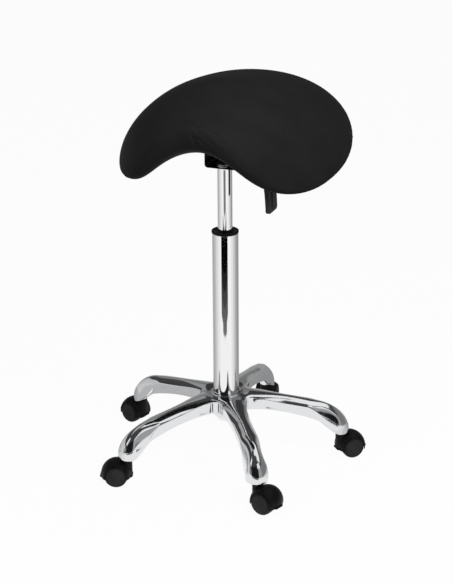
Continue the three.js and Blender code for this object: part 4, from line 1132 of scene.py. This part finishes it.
def makeFloor():
    # white paper: what looks at it sees it nearly as bright as the backdrop, less the object's soft shadow
    deselectAll()
    bpy.ops.mesh.primitive_plane_add(size=60)
    floor = named("floor")
    material, tree, shader = newMaterial("whitePaper", {
        "Base Color": linear(studio["paper"]), "Roughness": 0.9, "Specular IOR Level": 0.1})[:3]
    glow = addNode(tree, "ShaderNodeEmission", {"Color": (1, 1, 1, 1), "Strength": studio["paperGlow"]})
    share = addNode(tree, "ShaderNodeMath", {"operation": "MULTIPLY", 1: studio["glowShare"]},
                    {0: (rayMix(tree), "Value")})
    both = addNode(tree, "ShaderNodeMixShader", links={"Fac": (share, "Value"), 1: (shader, "BSDF"),
                                                       2: (glow, "Emission")})
    output = next(node for node in tree.nodes if node.type == "OUTPUT_MATERIAL")
    tree.links.new(both.outputs["Shader"], output.inputs["Surface"])
    floor.data.materials.append(material)


def upright(x0, y0, x1, y1, low, high):
    return [(x0, y0, low), (x1, y1, low), (x1, y1, high), (x0, y0, high)]


cards = {
    # what stands round the set, seen only in the metal: corners in metres, and how bright each card looks
    "front": (upright(-3.5, -3.4, 1.5, -3.4, 0, 3.2), 0.012),
    "frontRight": (upright(1.5, -3.4, 3.5, -3.4, 0, 3.2), 0.4),
    "leftNear": (upright(-3.5, -3.4, -3.5, -1.2, 0, 1.6), 0.25),
    "leftLow": (upright(-3.5, -1.2, -3.5, 0.9, 0, 1.5), 0.7),
    "leftHigh": (upright(-3.5, -3.4, -3.5, 1.5, 1.5, 3.2), 0.05),
    "leftBack": ([(-3.5, 0.9, 0), (-3.5, 3.4, 0), (-3.5, 3.4, 1.8), (-3.5, 0.9, 1.5)], 0.62),
    "leftBackHigh": ([(-3.5, 1.5, 1.58), (-3.5, 3.4, 1.8), (-3.5, 3.4, 3.2), (-3.5, 1.5, 3.2)], 0.06),
    "backLow": (upright(-3.5, 3.4, 3.5, 3.4, 0, 1.0), 0.36),
    "backMiddle": (upright(-3.5, 3.4, 3.5, 3.4, 1.0, 1.7), 0.2),
    "backHigh": (upright(-0.2, 3.4, 3.5, 3.4, 1.7, 3.2), 0.045),
    "backHighLeft": (upright(-1.6, 3.4, -0.2, 3.4, 1.7, 3.2), 0.33),
    "backHighCorner": (upright(-3.5, 3.4, -1.6, 3.4, 1.7, 3.2), 0.06),
    "right": (upright(3.5, -3.4, 3.5, 3.4, 0, 3.2), 0.22),
    "ceilingFront": ([(-3.5, -3.4, 3.2), (3.5, -3.4, 3.2), (3.5, 0, 3.2), (-3.5, 0, 3.2)], 0.06),
    "ceilingBack": ([(-3.5, 0, 3.2), (3.5, 0, 3.2), (3.5, 3.4, 3.2), (-3.5, 3.4, 3.2)], 0.06),
    "ceilingLeft": ([(-2.6, -0.2, 3.15), (-0.6, -0.2, 3.15), (-0.6, 2.6, 3.15), (-2.6, 2.6, 3.15)], 0.45),
    "leftBox": (upright(-2.5, -0.67, -2.13, -1.5, 1.4, 3.0), 1.0),
    "rightBox": (upright(0.85, -2.45, 1.75, -1.85, 1.75, 3.0), 1.0),
    "overhead": ([(-0.3, -0.9, 3.0), (0.8, -0.9, 3.0), (0.8, 0.4, 3.0), (-0.3, 0.4, 3.0)], 1.0),
    "rightTop": ([(0.9, -1.4, 2.7), (1.9, -1.4, 2.4), (1.9, 1.9, 2.4), (0.25, 1.9, 2.8)], 1.0),
}
# painted shade on the paper, seen only in the metal: glowing patches that darken the paper's reflection by
# direction from the column, given as degrees from the camera to the right, the near and far ends in metres, and
# how bright it looks
paintedPaperShades = [
    (-70, -50, 0.2, 3.4, 0.88), (-90, -70, 0.2, 3.4, 0.74), (-110, -90, 0.2, 3.4, 0.56),
    (-135, -110, 0.2, 3.4, 0.44), (-160, -135, 0.2, 3.4, 0.55),
    (50, 70, 0.2, 3.4, 0.86), (70, 90, 0.2, 3.4, 0.66), (90, 110, 0.2, 3.4, 0.46), (110, 168, 0.2, 3.4, 0.33),
    (-22, 10, 0.66, 0.78, 0.16), (-35, 20, 0.78, 0.92, 0.12), (-35, 20, 0.92, 1.05, 0.06),
    (-35, 20, 1.05, 1.2, 0.02), (-35, 20, 1.2, 1.6, 0.002), (-20, 12, 1.6, 2.6, 0.2),
]
paintedPaperShadeHeight = 0.004  # metres above the paper
lamps = {
    # each softbox's place, what it looks at and its size in metres, as the camera sees them, and its watts
    "leftSoftbox": ((-1.5, -1.5, 2.0), (0, 0, 0.4), (0.6, 1.6), 14),
    "rightSoftbox": ((1.5, -1.5, 2.0), (0, 0, 0.4), (0.6, 1.6), 32),
    "frontSoftbox": ((0.2, -2.4, 1.9), (0, 0, 0.5), (1.2, 0.8), 42),
    "topSoftbox": ((0.2, 0.2, 2.6), (0, 0, 0.4), (0.8, 1.2), 10),
}


def makeCard(name, corners, level):
    deselectAll()
    bpy.ops.mesh.primitive_circle_add(vertices=len(corners), radius=1, fill_type="NGON")
    card = named(name)
    for vertex, corner in zip(card.data.vertices, corners):
        vertex.co = viewTurn @ Vector(corner)
    material = bpy.data.materials.new(name)
    material.use_nodes = True
    tree = material.node_tree
    tree.nodes.clear()
    glow = addNode(tree, "ShaderNodeEmission", {"Color": (level, level, level, 1)})
    addNode(tree, "ShaderNodeOutputMaterial", links={"Surface": (glow, "Emission")})
    card.data.materials.append(material)
    card.visible_camera = card.visible_diffuse = card.visible_shadow = card.visible_transmission = False


makeCamera()
makeWorld()
makeFloor()
for cardName, (corners, level) in cards.items():
    makeCard(cardName, corners, level)
# patches of painted shade on the paper, which only the metal's reflections show
for i, (start, end, near, far, level) in enumerate(paintedPaperShades):
    a, b = math.radians(start), math.radians(end)
    corners = [(r * math.sin(t), -r * math.cos(t), paintedPaperShadeHeight)
               for r, t in ((near, a), (near, b), (far, b), (far, a))]
    makeCard(f"paintedPaperShade{i + 1}", corners, level)
for lampName, (spot, target, size, power) in lamps.items():
    lamp(lampName, viewTurn @ Vector(spot), target, size, power)
bpy.context.scene.view_settings.view_transform = "Standard"
